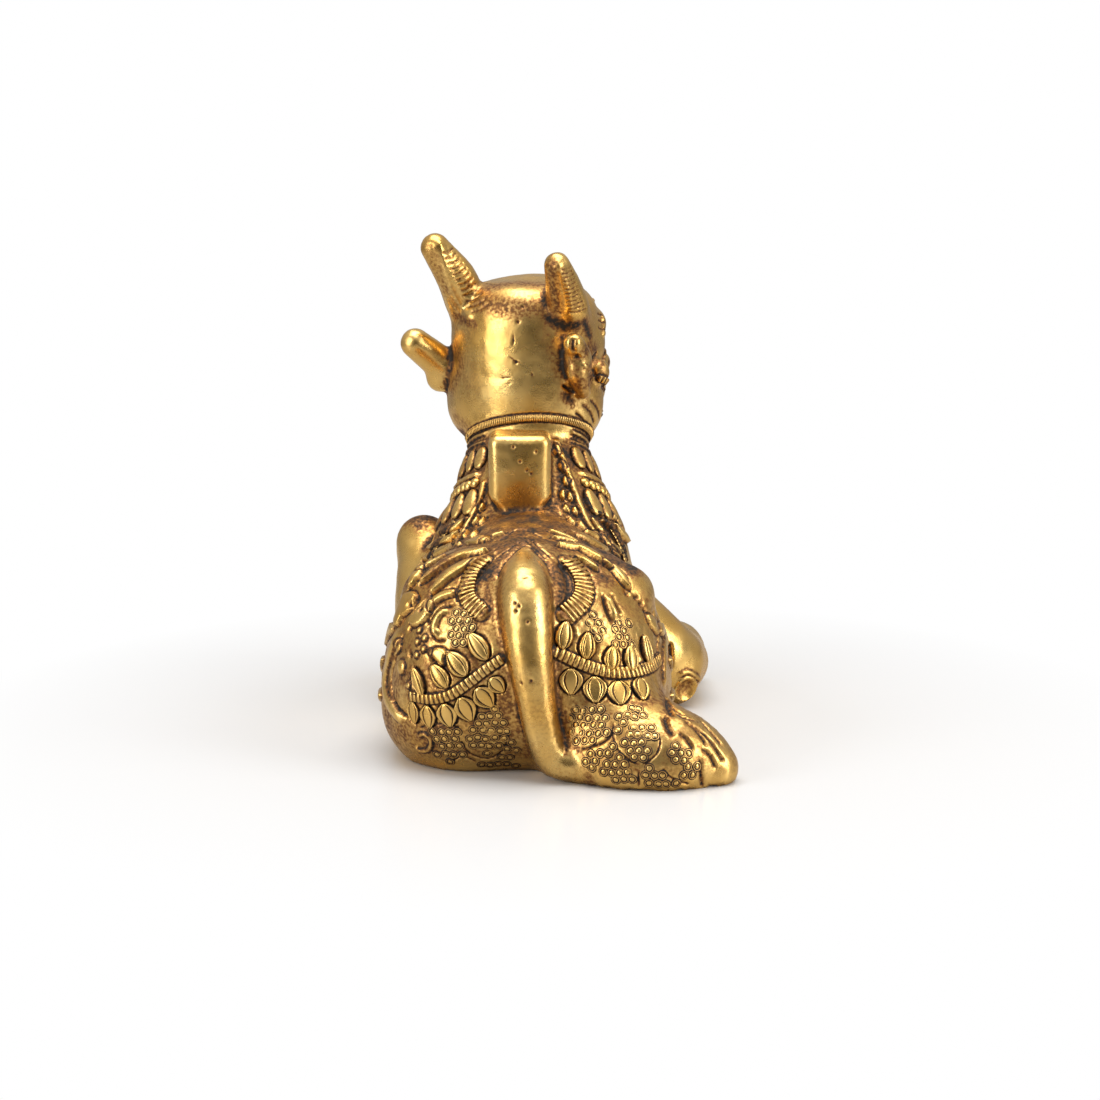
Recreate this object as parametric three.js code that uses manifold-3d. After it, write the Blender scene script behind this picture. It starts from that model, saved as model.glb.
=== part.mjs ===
// A small cast-brass Nandi: a bull lying down, its head turned to its right, its left knee raised.
// Millimetres, +Z up, the face towards -Y and the tail towards +Y, so that +X is the bull's left.
// Every form is laid out about the spine (x = 0) and the casting is centred over its own box at the end.
import * as THREE from "three";
import { mergeVertices } from "three/addons/utils/BufferGeometryUtils.js";
import Module from "manifold-3d";

const wasm = await Module();
wasm.setup();

const DEG = Math.PI / 180;
const UP = new THREE.Vector3(0, 0, 1);
const BACK = new THREE.Vector3(0, 1, 0);

// Body sizes
const BACK_HEIGHT = 47;
const HAUNCH_HALF_WIDTH = 29.5;
const RUMP_REAR = 51;
const BELLY = { at: [0, -2, 20.5], radii: [24, 44, 26] };
const CLOTH_LIFT = 1;
const CLOTH_FRONT = -3;
const CLOTH_BACK = 31;

// The hump on the withers
const HUMP_TOP = 63.5;
const HUMP_WIDTH = 13.8;
const HUMP_DEPTH = 13;
const HUMP_REAR = -6;
const HUMP_FOOT = 42.5;
const HUMP_WAIST = 4.4;
const HUMP_EDGE = 1.2;
const HUMP_OFFSET = 1.7;

// Head and neck
const HEAD_CENTRE = [0.6, -36, 78];
const HEAD_TURN = 30;
const NECK_FOOT = [-0.8, -19, 36];
const NECK_TOP = [0.4, -34, 62];
const NECK_FOOT_RADIUS = 16.5;
const NECK_TOP_RADIUS = 9.4;
const NECK_BROAD = 1.24;
const COLLAR_SHARES = [0.22, 0.66, 1.05];
const COLLAR_THICKNESS = 1.1;

// Legs
const LEFT_ELBOW = [22, -20, 21];
const LEFT_KNEE = [24.2, -33, 35];
const LEFT_FETLOCK = [25.2, -41, 8.5];
const LEFT_FORE_TOE = [25.4, -46.5, 4];
const RIGHT_ELBOW = [-32.8, -20, 10.2];
const RIGHT_KNEE = [-34.3, -41, 7.2];
const RIGHT_FORE_TOE = [-33.4, -17.5, 5.2];
const HOCK = [-20, 47.5, 5];
const RIGHT_HIND_TOE = [-37.6, 48.6, 2.8];
const LEFT_HIND_TOE = [24.5, -6, 4];

// Carving on the haunches
const GARLAND_RADIUS = 1.3;
const LEFT_GARLAND = [[23, 43.1, 16.4], [17.3, 47.5, 17], [11.6, 48.9, 20.3], [5.3, 49.7, 25.2]];
const RIGHT_GARLAND = [[-6.4, 49.2, 26.8], [-14.4, 48, 23.2], [-21.4, 44.6, 21.7], [-27.6, 34.8, 22]];
const FAN_RADIUS = 1.9;
const FAN = [[8.6, 36.8, 43], [11.7, 40.9, 38.6], [11.2, 43.6, 36], [8.6, 46, 34]];
const COMMA = [[15.6, 43, 34.4], [18.3, 43.4, 31.8], [17.1, 45.4, 28.9]];
const COMMA_RADII = [1.2, 1.8, 2.2];
const CLEFT_WIDTH = 0.9;
const CUT_DEPTH = 12;
const CUT_SPAN = 200;

// Facets of the round forms
const EGG_AROUND = 14;
const EGG_ALONG = 8;
const SMALL_EGG = 7.5;
const SMALL_EGG_AROUND = 9;
const SMALL_EGG_ALONG = 6;
const TAPER_AROUND = 8;
const SLIM_AROUND = 5;
const SLIM_RADIUS = 2.7;
const ARC_STEPS = 2;
const COLLAR_STEPS = 15;

const vec = (p) => new THREE.Vector3(...p);

// A closed three.js geometry as a solid that can be joined and cut.
function solid(geometry) {
  const plain = new THREE.BufferGeometry();
  plain.setAttribute("position", geometry.getAttribute("position"));
  plain.setIndex(geometry.getIndex());
  const merged = mergeVertices(plain, 1e-4);
  const index = merged.getIndex().array;
  const kept = [];
  for (let i = 0; i < index.length; i += 3) {
    const [a, b, c] = [index[i], index[i + 1], index[i + 2]];
    if (a !== b && b !== c && c !== a) kept.push(a, b, c);
  }
  return new wasm.Manifold(
    new wasm.Mesh({
      numProp: 3,
      vertProperties: merged.getAttribute("position").array,
      triVerts: new Uint32Array(kept),
    }),
  );
}

// An ellipsoid: its centre, its three radii and its turns about X, Y and Z in degrees.
function egg(at, radii, turn = [0, 0, 0]) {
  const small = Math.max(...radii) < SMALL_EGG;
  const [around, along] = small ? [SMALL_EGG_AROUND, SMALL_EGG_ALONG] : [EGG_AROUND, EGG_ALONG];
  const geometry = new THREE.SphereGeometry(1, around, along);
  const pose = new THREE.Matrix4().compose(
    vec(at),
    new THREE.Quaternion().setFromEuler(new THREE.Euler(...turn.map((t) => t * DEG))),
    vec(radii),
  );
  return solid(geometry.applyMatrix4(pose));
}

// An upright form that is oval in plan; the higher `square` is, the longer it keeps its width.
function barrel(at, radii, turn, square) {
  const swell = (share) => Math.sign(share) * Math.abs(share) ** (2 / square);
  const profile = [];
  for (let i = 0; i <= EGG_ALONG; i++) {
    const t = (i / EGG_ALONG - 0.5) * Math.PI;
    profile.push(new THREE.Vector2(i % EGG_ALONG ? swell(Math.cos(t)) : 0, swell(Math.sin(t))));
  }
  const pose = new THREE.Matrix4().compose(
    vec(at),
    new THREE.Quaternion().setFromEuler(new THREE.Euler(0, 0, turn * DEG)),
    vec(radii),
  );
  return solid(new THREE.LatheGeometry(profile, EGG_AROUND).rotateX(90 * DEG).applyMatrix4(pose));
}

// A tapered limb between two balls. `broad` widens it sideways, across the line and the `up` direction.
function taper(from, to, fromRadius, toRadius, broad = 1, up = UP) {
  const start = vec(from);
  const along = vec(to).sub(start);
  const length = along.length();
  along.normalize();
  const lean = Math.asin((fromRadius - toRadius) / length);
  const profile = [];
  const arc = (radius, height, low, high) => {
    for (let i = 0; i <= ARC_STEPS; i++) {
      const t = low + ((high - low) * i) / ARC_STEPS;
      profile.push(new THREE.Vector2(Math.max(0, radius * Math.cos(t)), height + radius * Math.sin(t)));
    }
  };
  arc(fromRadius, 0, -Math.PI / 2, lean);
  arc(toRadius, length, lean, Math.PI / 2);
  profile[0].x = 0;
  profile[profile.length - 1].x = 0;
  const side = new THREE.Vector3().crossVectors(along, up).normalize();
  const rise = new THREE.Vector3().crossVectors(side, along);
  const pose = new THREE.Matrix4().makeBasis(side.multiplyScalar(broad), along, rise);
  pose.setPosition(start);
  const around = Math.max(fromRadius, toRadius) < SLIM_RADIUS ? SLIM_AROUND : TAPER_AROUND;
  return solid(new THREE.LatheGeometry(profile, around).applyMatrix4(pose));
}

// A limb of several tapers through named joints, each [place, radius].
const chain = (joints, broad = 1, up = UP) =>
  joints.slice(1).map(([place, radius], i) => taper(joints[i][0], place, joints[i][1], radius, broad, up));

// A raised ridge of one thickness along a few places on the surface.
const ridge = (places, radius) => chain(places.map((place) => [place, radius]));

// A box from its centre, its sizes and its turns about X, Y and Z in degrees.
function block(at, sizes, turn = [0, 0, 0]) {
  const pose = new THREE.Matrix4().makeRotationFromEuler(new THREE.Euler(...turn.map((t) => t * DEG)));
  pose.setPosition(vec(at));
  return solid(new THREE.BoxGeometry(...sizes).applyMatrix4(pose));
}

const join = (solids) => solids.reduce((whole, piece) => whole.add(piece));

// Both sides of a form that is given for the bull's left.
const pair = (make) => [make(1), make(-1)];

const mirrored = (places, side) => places.map(([x, y, z]) => [side * x, y, z]);

const trunk = () => [
  egg(BELLY.at, BELLY.radii),
  egg([0, RUMP_REAR - 20.5, 22], [20, 20.5, BACK_HEIGHT - 22]),
  egg([0, -25, 24], [20.5, 18, 25]),
  ...pair((side) => egg([side * (HAUNCH_HALF_WIDTH - 18), 25, 18.5], [18, 24, 25.5])),
  ...pair((side) => egg([side * (HAUNCH_HALF_WIDTH - 15.5), 27, 9.5], [16, 16, 12.5])),
  egg([19.2, 27, 34.4], [6.4, 7.5, 6]),
  egg([-20.6, 28, 34.8], [6.2, 7, 5.8]),
  ...pair((side) => egg([side * 13, -20, 24], [11.5, 17, 21])),
];

// The neck, and the dewlap that hangs from the throat to the chest.
const neck = () => [
  taper(NECK_FOOT, NECK_TOP, NECK_FOOT_RADIUS, NECK_TOP_RADIUS, NECK_BROAD, BACK),
  ...chain([[[-1, -42.5, 56], 6.5], [[0, -42, 40], 8], [[0, -37, 20], 12]], 1.2, BACK),
];

// The hump, drawn from behind and pulled forward: a squared block that narrows to a waist.
function hump() {
  const half = HUMP_WIDTH / 2 - HUMP_EDGE;
  const shape = new THREE.Shape();
  shape.moveTo(-HUMP_WAIST, HUMP_FOOT);
  shape.lineTo(HUMP_WAIST, HUMP_FOOT);
  shape.lineTo(HUMP_WAIST, HUMP_FOOT + 4);
  shape.quadraticCurveTo(half, HUMP_FOOT + 5, half, HUMP_FOOT + 8);
  shape.lineTo(half, HUMP_TOP - HUMP_EDGE);
  shape.lineTo(-half, HUMP_TOP - HUMP_EDGE);
  shape.lineTo(-half, HUMP_FOOT + 8);
  shape.quadraticCurveTo(-half, HUMP_FOOT + 5, -HUMP_WAIST, HUMP_FOOT + 4);
  const squared = new THREE.ExtrudeGeometry(shape, {
    depth: HUMP_DEPTH - 2 * HUMP_EDGE,
    curveSegments: 3,
    bevelSize: HUMP_EDGE,
    bevelThickness: HUMP_EDGE,
    bevelSegments: 1,
  });
  squared.rotateX(90 * DEG);
  return solid(squared.translate(HUMP_OFFSET, HUMP_REAR - HUMP_EDGE, 0));
}

// A place given in the head's own frame: to its left, forward and up from its centre.
function inHead([left, forward, up]) {
  const turn = HEAD_TURN * DEG;
  return [
    HEAD_CENTRE[0] + left * Math.cos(turn) - forward * Math.sin(turn),
    HEAD_CENTRE[1] - left * Math.sin(turn) - forward * Math.cos(turn),
    HEAD_CENTRE[2] + up,
  ];
}

// Ellipsoid in the head's frame: radii to the side, forward and up, and a nod forward in degrees.
const headEgg = (place, radii, nod = 0) => egg(inHead(place), radii, [nod, 0, -HEAD_TURN]);

const headChain = (joints, broad) => chain(joints.map(([place, radius]) => [inHead(place), radius]), broad);

const headBarrel = (place, radii, square) => barrel(inHead(place), radii, -HEAD_TURN, square);

// The nape is upright and broad and the jaw stands out over the collar.
const skull = () => [
  headBarrel([0.7, 0.5, -1.8], [17.8, 14.2, 19.4], 3.8),
  headBarrel([1.5, 2, -9.5], [19, 14, 10], 3),
  headEgg([0, 5, 9.5], [14.6, 10, 9]),
];

// The muzzle, the eyes under their brows and the cheeks.
const face = () => [
  ...headChain([[[0, 6, 1], 12.6], [[1, 14, -5], 10.6], [[2, 21, -9.6], 8.5]], 1.06),
  headEgg([2.4, 23.2, -10.2], [9.4, 6, 7.6], 20),
  ...pair((side) => headEgg([side * 12.8, 6.5, 3.5], [3.6, 5, 7])),
  ...pair((side) => headEgg([side * 12.6, 11, -1.6], [3, 3.8, 3])),
  ...pair((side) => join(headChain([[[side * 6, 12.6, 8.6], 3], [[side * 11.4, 10.2, 7.6], 3.6]]))),
];

// Each horn is nearly straight and leans back and out.
const LEFT_HORN = [[[9.8, -1.5, 6], 4.8], [[12.2, -4.9, 11.2], 4.9], [[12.9, -9.5, 18.4], 4.5], [[15.6, -14, 25.3], 3.3]];
const RIGHT_HORN = [[[-9.8, -0.5, 6], 5], [[-12.8, -3.2, 11], 5.1], [[-14.4, -7.6, 16.8], 4.1], [[-15.2, -12, 22.2], 2.9]];

const horns = () => [...headChain(LEFT_HORN), ...headChain(RIGHT_HORN)];

// The left ear stands out over a lobe; the right one is a curled cup: its tip, its flap and the lobe in front.
const ears = () => [
  ...headChain([[[15, -3.5, -4.5], 3.4], [[19.3, -6.5, -1.6], 3.9], [[22.9, -11.3, 3], 3.5]]),
  headEgg([19.8, -5.8, -5.2], [3.2, 3, 3.4]),
  ...headChain([[[-15, -3, -3], 3.4], [[-17.6, -6.2, 1], 2.9], [[-18.4, -10, 4.8], 2.3]]),
  ...headChain([[[-17.4, -7.2, 2], 2.2], [[-18.1, -7.6, -2], 2.5], [[-18.2, -5.4, -6.4], 1.8]]),
  headEgg([-18.2, 2.8, -2.8], [1.9, 2.4, 2.9]),
];

// The left foreleg stands on its hoof with the knee raised; the right one is folded under.
const forelegs = () => [
  ...chain([[[15, -8, 15], 13], [LEFT_ELBOW, 8.4], [LEFT_KNEE, 5.7]]),
  ...chain([[LEFT_KNEE, 5.7], [[24.9, -37.5, 21], 5.2], [LEFT_FETLOCK, 4.8], [LEFT_FORE_TOE, 5.8]], 1, BACK),
  ...chain([[[-15, -21, 20], 13], [RIGHT_ELBOW, 7.7], [RIGHT_KNEE, 6.8]]),
  ...chain([[RIGHT_KNEE, 6.8], [[-33.6, -28, 5.2], 4.4], [RIGHT_FORE_TOE, 5]]),
];

// The thighs and hind feet: the right foot reaches out beside its hock, the left one lies along the flank.
const hindlegs = () => [
  ...chain([[[-9, 43.5, 5], 7], [HOCK, 9.6], [[-28.5, 48.6, 5], 9.8]]),
  taper([-12, 34, 17], [-19.5, 43, 9], 14, 11),
  ...chain([[[-27, 43, 6], 9], [[-34, 47.2, 4.4], 7.4], [RIGHT_HIND_TOE, 5.7]]),
  taper([22.5, 14, 6], LEFT_HIND_TOE, 6.5, 5),
  ...pair((side) => taper([side * 15, 20, 15], [side * 19.5, -1, 10.5], 15, 9.5)),
];

const tail = () =>
  chain(
    [
      [[0.2, 36, 43.6], 2],
      [[0.2, 41.5, 40.2], 4.7],
      [[0, 46.2, 36.8], 5.4],
      [[-0.7, 49.6, 29], 4.9],
      [[-1.9, 51, 20], 4.1],
      [[-3.5, 50.4, 10.5], 3.7],
      [[-6.2, 49.2, 4.8], 3.8],
      [[-15, 49.6, 3.2], 2.7],
    ],
    1,
    BACK,
  );

// Neck ring square to the neck, where `share` runs from its foot to its top.
function collar(share) {
  const foot = vec(NECK_FOOT);
  const top = vec(NECK_TOP);
  const radius = THREE.MathUtils.lerp(NECK_FOOT_RADIUS, NECK_TOP_RADIUS, share);
  const ring = new THREE.TorusGeometry(radius, COLLAR_THICKNESS, 5, COLLAR_STEPS).scale(NECK_BROAD, 1, 1);
  const axis = top.clone().sub(foot).normalize();
  const pose = new THREE.Matrix4().makeRotationFromQuaternion(
    new THREE.Quaternion().setFromUnitVectors(UP, axis),
  );
  pose.setPosition(foot.lerp(top, share));
  return solid(ring.applyMatrix4(pose));
}

// The cloth over the back: the trunk's own form a little swollen, kept between two cross planes.
function cloth() {
  const swollen = egg(BELLY.at, BELLY.radii.map((radius) => radius + CLOTH_LIFT));
  const length = CLOTH_BACK - CLOTH_FRONT;
  return swollen.intersect(block([0, CLOTH_FRONT + length / 2, 40], [80, length, 44]));
}

// Garlands round the haunches, ribbed fans beside the tail root and a comma on each hip.
const carving = () => [
  ...ridge(LEFT_GARLAND, GARLAND_RADIUS),
  ...ridge(RIGHT_GARLAND, GARLAND_RADIUS),
  ...pair((side) => join(ridge(mirrored(FAN, side), FAN_RADIUS))),
  ...pair((side) => join(chain(mirrored(COMMA, side).map((place, i) => [place, COMMA_RADII[i]])))),
];

// Each cleft is a thin slot out of the front of a hoof.
const clefts = () => [
  block([25.6, -52.5, 3.6], [CLEFT_WIDTH, 5, 9]),
  block([-41.5, 50.5, 3.6], [6, CLEFT_WIDTH, 9], [0, 0, 15]),
];

const ground = () => block([0, 0, -CUT_DEPTH / 2], [CUT_SPAN, CUT_SPAN, CUT_DEPTH]);

function casting() {
  let whole = join([
    ...trunk(),
    ...neck(),
    hump(),
    ...skull(),
    ...face(),
    ...horns(),
    ...ears(),
    ...forelegs(),
    ...hindlegs(),
    ...tail(),
    ...COLLAR_SHARES.map(collar),
    cloth(),
    ...carving(),
  ]);
  for (const cut of [...clefts(), ground()]) whole = whole.subtract(cut);
  return whole;
}

const cast = casting().getMesh();
const geometry = new THREE.BufferGeometry();
geometry.setAttribute("position", new THREE.BufferAttribute(cast.vertProperties, 3));
geometry.setIndex(new THREE.BufferAttribute(cast.triVerts, 1));
geometry.computeBoundingBox();
const centre = geometry.boundingBox.getCenter(new THREE.Vector3());

const brass = new THREE.MeshStandardMaterial({ color: 0xc69c4a, roughness: 0.3, metalness: 1 });
const nandi = new THREE.Mesh(geometry, brass);
nandi.name = "nandi";
nandi.position.set(-centre.x, -centre.y, 0);

const root = new THREE.Group();
root.add(nandi);

export default root;
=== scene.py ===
"""A small cast-brass bull, lying down, seen from behind: its chased casting and a pale studio.

Lengths are in millimetres about the bull's spine until a mesh is made: +X is the bull's left,
+Y its tail and +Z up. Places marked in photograph pixels are carried onto the casting along
the camera's own rays.
"""
import functools
import itertools
import math

import bpy
import numpy as np
from bpy.props import FloatProperty, FloatVectorProperty, PointerProperty
from mathutils import Matrix, Vector
from mathutils.bvhtree import BVHTree


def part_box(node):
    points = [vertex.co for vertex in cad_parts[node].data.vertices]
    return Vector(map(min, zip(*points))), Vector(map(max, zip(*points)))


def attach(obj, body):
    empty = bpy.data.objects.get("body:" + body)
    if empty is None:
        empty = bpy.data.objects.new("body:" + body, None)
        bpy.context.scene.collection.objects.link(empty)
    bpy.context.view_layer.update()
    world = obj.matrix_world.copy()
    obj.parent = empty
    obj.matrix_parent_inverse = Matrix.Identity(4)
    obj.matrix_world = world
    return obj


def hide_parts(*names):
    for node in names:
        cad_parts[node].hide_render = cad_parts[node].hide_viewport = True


bl_info = {
    "name": "Brass Bull",
    "version": (1, 0, 0),
    "blender": (4, 5, 0),
    "location": "View3D > Sidebar > Brass Bull",
    "description": "Casts and chases a small reclining brass bull and sets up its studio",
    "category": "Object",
}

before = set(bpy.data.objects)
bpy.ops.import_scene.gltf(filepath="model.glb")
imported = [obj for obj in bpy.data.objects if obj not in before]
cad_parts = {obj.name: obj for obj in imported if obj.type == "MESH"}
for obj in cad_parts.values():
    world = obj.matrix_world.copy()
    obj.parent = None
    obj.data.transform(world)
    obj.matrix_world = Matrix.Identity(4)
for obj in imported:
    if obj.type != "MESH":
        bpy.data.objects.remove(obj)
CAD_LOW, CAD_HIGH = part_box("nandi")
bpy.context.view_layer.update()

METRE = 1000.0

# Reaches of the form from the spine, which place the spine in the frame
FOOT_REACH_RIGHT = 43.3
FOOT_REACH_BACK = 58.3
SPINE = np.array([CAD_LOW.x * METRE + FOOT_REACH_RIGHT, CAD_HIGH.y * METRE - FOOT_REACH_BACK, 0.0])

# Body sizes
BACK_HEIGHT = 47.0
HAUNCH_HALF_WIDTH = 29.5
RUMP_REAR = 51.0
HUMP_TOP = 63.5
HUMP_HALF_WIDTH = 6.9
HUMP_WAIST = 4.4
HUMP_DEPTH = 13.0
HUMP_REAR = -6.0
HUMP_FOOT = 42.5
HUMP_OFFSET = 1.7
HUMP_ROUND = 2.0
HUMP_BULGE = 1.2
HEAD_CENTRE = np.array([0.6, -36.0, 78.0])
HEAD_TURN = math.radians(30)
NECK_FOOT = np.array([-0.8, -19.0, 36.0])
NECK_TOP = np.array([0.4, -34.0, 62.0])
NECK_FOOT_RADIUS = 16.5
NECK_TOP_RADIUS = 9.4
NECK_BROAD = 1.24
NECK_CLEARANCE = 34.0
NECK_REACH = 30.0
KNEE_REACH = 8.0
LEFT_ELBOW = (22, -20, 21)
LEFT_KNEE = (24.2, -33, 35)
LEFT_FETLOCK = (25.2, -41, 8.5)
LEFT_FORE_TOE = (25.4, -46.5, 4)
RIGHT_ELBOW = (-32.8, -20, 10.2)
RIGHT_KNEE = (-34.3, -41, 7.2)
RIGHT_FORE_TOE = (-33.4, -17.5, 5.2)
HOCK = (-20, 47.5, 5)
RIGHT_HIND_TOE = (-37.6, 48.6, 2.8)
LEFT_HIND_TOE = (24.5, -6, 4)

# The photograph's camera, about the spine
PHOTO_SIZE = 1100
PHOTO_CENTRE = 550.0
FOCAL_PIXELS = 2550.0
CAMERA_DISTANCE = 560.0
CAMERA_RISE = math.radians(10)
CAMERA_TARGET = np.array([-5.0, 0.0, 39.09])
SENSOR = 36.0

# Meshing, in millimetres
GRID_STEP = 1.4
GRID_MARGIN = 2.9
SPLIT_ROUNDS = 6
LEG_EDGE = 1.1
HEAD_EDGE = 0.8
HAUNCH_EDGE = 0.55
NECK_EDGE = 0.65
UNDERSIDE_EDGE = 3.0
PETAL_EDGE = 0.34
CHIN_HEIGHT = 66
SHOULDER_HEIGHT = 38
HAUNCH_FRONT = 8
MAP_CELL = 0.5
MAP_SHARE = 0.8
LINE_JUMP = 3.0
LINE_SPACING = 0.4
SLOPE_STEP = 0.05
SETTLE_ROUNDS = 2
SPLIT_SLACK = 1.35
SHEETS_AT_ONCE = 8
HUMP_CLEARANCE = 1.2

# Where the two parts of the casting meet
WAIST = 4.0

# A recess is darkest from this depth below its surroundings; its darkness is patina in the hollows and
# painted shade there
RECESS_ROUNDS = 3
RECESS_DEPTH = 0.22

# How dark the ground is, from 0 to 1; the rim beside the tail is patina and painted shade in the crease there
NECK_PATINA = 0.82
BACK_PATINA = 0.8
LEFT_HAUNCH_PATINA = 0.45
RIGHT_HAUNCH_PATINA = 0.32
TAIL_RIM_PATINA_AND_SHADE = 0.6
TAIL_PATINA = 0.14

# Brown stains as (place, radius, amount); the last, in the waist below the hump, is brown staining and
# painted shade under the block
STAINS_AND_SHADE = (
    (tuple(HEAD_CENTRE + np.array([13, 4, 6])), 6, 0.35),
    (tuple(HEAD_CENTRE + np.array([-9, 10, 7])), 6, 0.45),
    (tuple(HEAD_CENTRE + np.array([-16, 14, -5])), 7, 0.6),
    (tuple(HEAD_CENTRE + np.array([15, 8, -4])), 5, 0.45),
    ((1.5, -4, 45), 6, 0.45),
)

UP = (0, 0, 1)
BACK = (0, 1, 0)

# How far off a form is still worked out, and the tapers between two joints of a limb
NEAR = 7.0
LIMB_PIECES = 4


# Round forms as distance functions

def turned(degrees):
    """Axes turned about X, Y and Z by three angles in degrees."""
    x, y, z = (math.radians(angle) for angle in degrees)
    about_x = np.array([[1, 0, 0], [0, math.cos(x), -math.sin(x)], [0, math.sin(x), math.cos(x)]])
    about_y = np.array([[math.cos(y), 0, math.sin(y)], [0, 1, 0], [-math.sin(y), 0, math.cos(y)]])
    about_z = np.array([[math.cos(z), -math.sin(z), 0], [math.sin(z), math.cos(z), 0], [0, 0, 1]])
    return about_x @ about_y @ about_z


def bounded(form, centre, radius):
    """The form, worked out only near it; further off, the distance to its ball stands in."""
    def distance(points):
        away = np.linalg.norm(points - centre, axis=1) - radius
        near = away < NEAR
        away[near] = form(points[near])
        return away

    return distance


def egg(at, radii, turn=(0, 0, 0)):
    """An ellipsoid from its centre, its radii and its turns in degrees."""
    axes = turned(turn)
    centre = np.array(at, float)
    radii = np.array(radii, float)

    def distance(points):
        local = (points - centre) @ axes
        reach = np.linalg.norm(local / radii, axis=1)
        slope = np.linalg.norm(local / radii**2, axis=1) + 1e-9
        return reach * (reach - 1) / slope

    return bounded(distance, centre, radii.max())


def barrel(at, radii, turn, square):
    """An upright form that is oval in plan and keeps its width over most of its height."""
    axes = turned(turn)
    centre = np.array(at, float)

    def distance(points):
        local = (points - centre) @ axes
        plan = local[:, :2] / radii[:2]
        width = np.linalg.norm(plan, axis=1) + 1e-9
        height = np.abs(local[:, 2]) / radii[2]
        reach = (width**square + height**square) ** (1 / square) + 1e-9
        across = (width / reach) ** (square - 1) * np.linalg.norm(plan / radii[:2], axis=1) / width
        upright = (height / reach) ** (square - 1) / radii[2]
        return (reach - 1) / (np.hypot(across, upright) + 1e-9)

    return bounded(distance, centre, math.hypot(max(radii[:2]), radii[2]))


def taper(start, end, start_radius, end_radius, broad=1.0, up=UP):
    """A limb between two balls. `broad` widens it across its line and the `up` direction."""
    start = np.array(start, float)
    along = np.array(end, float) - start
    length = np.linalg.norm(along)
    along /= length
    side = np.cross(along, up)
    side /= np.linalg.norm(side)
    rise = np.cross(side, along)
    lean = (start_radius - end_radius) / length
    square = math.sqrt(1 - lean * lean)

    def distance(points):
        local = points - start
        height = local @ along
        width = np.hypot(local @ side / broad, local @ rise)
        reach = height * square - width * lean
        near_start = np.hypot(width, height) - start_radius
        near_end = np.hypot(width, height - length) - end_radius
        between = width * square + height * lean - start_radius
        return np.where(reach < 0, near_start, np.where(reach > length * square, near_end, between))

    middle = start + along * length / 2
    return bounded(distance, middle, length / 2 + max(start_radius, end_radius) * max(broad, 1))


def curve_through(marks, pieces=10):
    """A smooth line through a few places, by a Catmull-Rom spline."""
    marks = np.array(marks, float)
    padded = np.concatenate([2 * marks[:1] - marks[1:2], marks, 2 * marks[-1:] - marks[-2:-1]])
    t = np.arange(pieces)[:, None] / pieces
    made = []
    for p0, p1, p2, p3 in zip(padded, padded[1:], padded[2:], padded[3:]):
        made.append(0.5 * (2 * p1 + (p2 - p0) * t + (2 * p0 - 5 * p1 + 4 * p2 - p3) * t**2
                           + (3 * p1 - p0 - 3 * p2 + p3) * t**3))
    return np.concatenate(made + [marks[-1:]])


def limb(joints, broad=1.0, up=UP):
    """A smooth limb through joints, each (place, radius), as one form."""
    marks = curve_through([(*place, radius) for place, radius in joints], LIMB_PIECES)
    tapers = [taper(a[:3], b[:3], a[3], b[3], broad, up) for a, b in zip(marks, marks[1:])]
    return lambda points: np.minimum.reduce([form(points) for form in tapers])


def smooth_step(low, high, value):
    share = np.clip((value - low) / (high - low), 0, 1)
    return share * share * (3 - 2 * share)


def hump_form(points):
    """The squared hump: a pillowed block that narrows to a waist above the withers."""
    height = points[:, 2]
    half = HUMP_WAIST + (HUMP_HALF_WIDTH - HUMP_WAIST) * smooth_step(HUMP_FOOT + 3.6, HUMP_FOOT + 7.8, height)
    middle = (HUMP_TOP + HUMP_FOOT) / 2
    rise = (HUMP_TOP - HUMP_FOOT) / 2
    bulge = HUMP_BULGE * (1 - ((points[:, 0] - HUMP_OFFSET) / HUMP_HALF_WIDTH) ** 2)
    bulge = np.clip(bulge, 0, None) * np.clip(1 - ((height - middle - 2) / rise) ** 2, 0, 1)
    over = np.stack([
        np.abs(points[:, 0] - HUMP_OFFSET) - half + HUMP_ROUND,
        np.abs(points[:, 1] - HUMP_REAR + HUMP_DEPTH / 2) - HUMP_DEPTH / 2 - bulge + HUMP_ROUND,
        np.abs(height - middle) - rise + HUMP_ROUND,
    ], axis=1)
    outside = np.linalg.norm(np.maximum(over, 0), axis=1)
    inside = np.minimum(over.max(axis=1), 0)
    return outside + inside - HUMP_ROUND


def in_head(place):
    """A place given in the head's frame, to its left, forward and up from its centre."""
    left, forward, up = place
    return HEAD_CENTRE + np.array([
        left * math.cos(HEAD_TURN) - forward * math.sin(HEAD_TURN),
        -left * math.sin(HEAD_TURN) - forward * math.cos(HEAD_TURN),
        up,
    ])


def head_egg(place, radii, nod=0.0):
    return egg(in_head(place), radii, (nod, 0, -math.degrees(HEAD_TURN)))


def head_barrel(place, radii, square):
    return barrel(in_head(place), radii, (0, 0, -math.degrees(HEAD_TURN)), square)


def head_limb(joints, broad=1.0):
    return limb([(in_head(place), radius) for place, radius in joints], broad)


def trunk_forms():
    forms = [
        egg((0, -2, 20.5), (24, 44, 26)),
        egg((0, RUMP_REAR - 20.5, 22), (20, 20.5, BACK_HEIGHT - 22)),
        egg((0, -25, 24), (20.5, 18, 25)),
    ]
    for side in (1, -1):
        forms += [
            egg((side * (HAUNCH_HALF_WIDTH - 18), 25, 18.5), (18, 24, 25.5)),
            egg((side * (HAUNCH_HALF_WIDTH - 15.5), 27, 9.5), (16, 16, 12.5)),
            egg((side * 13, -20, 24), (11.5, 17, 21)),
            taper((side * 15, 20, 15), (side * 19.5, -1, 10.5), 15, 9.5),
        ]
    return forms


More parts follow.
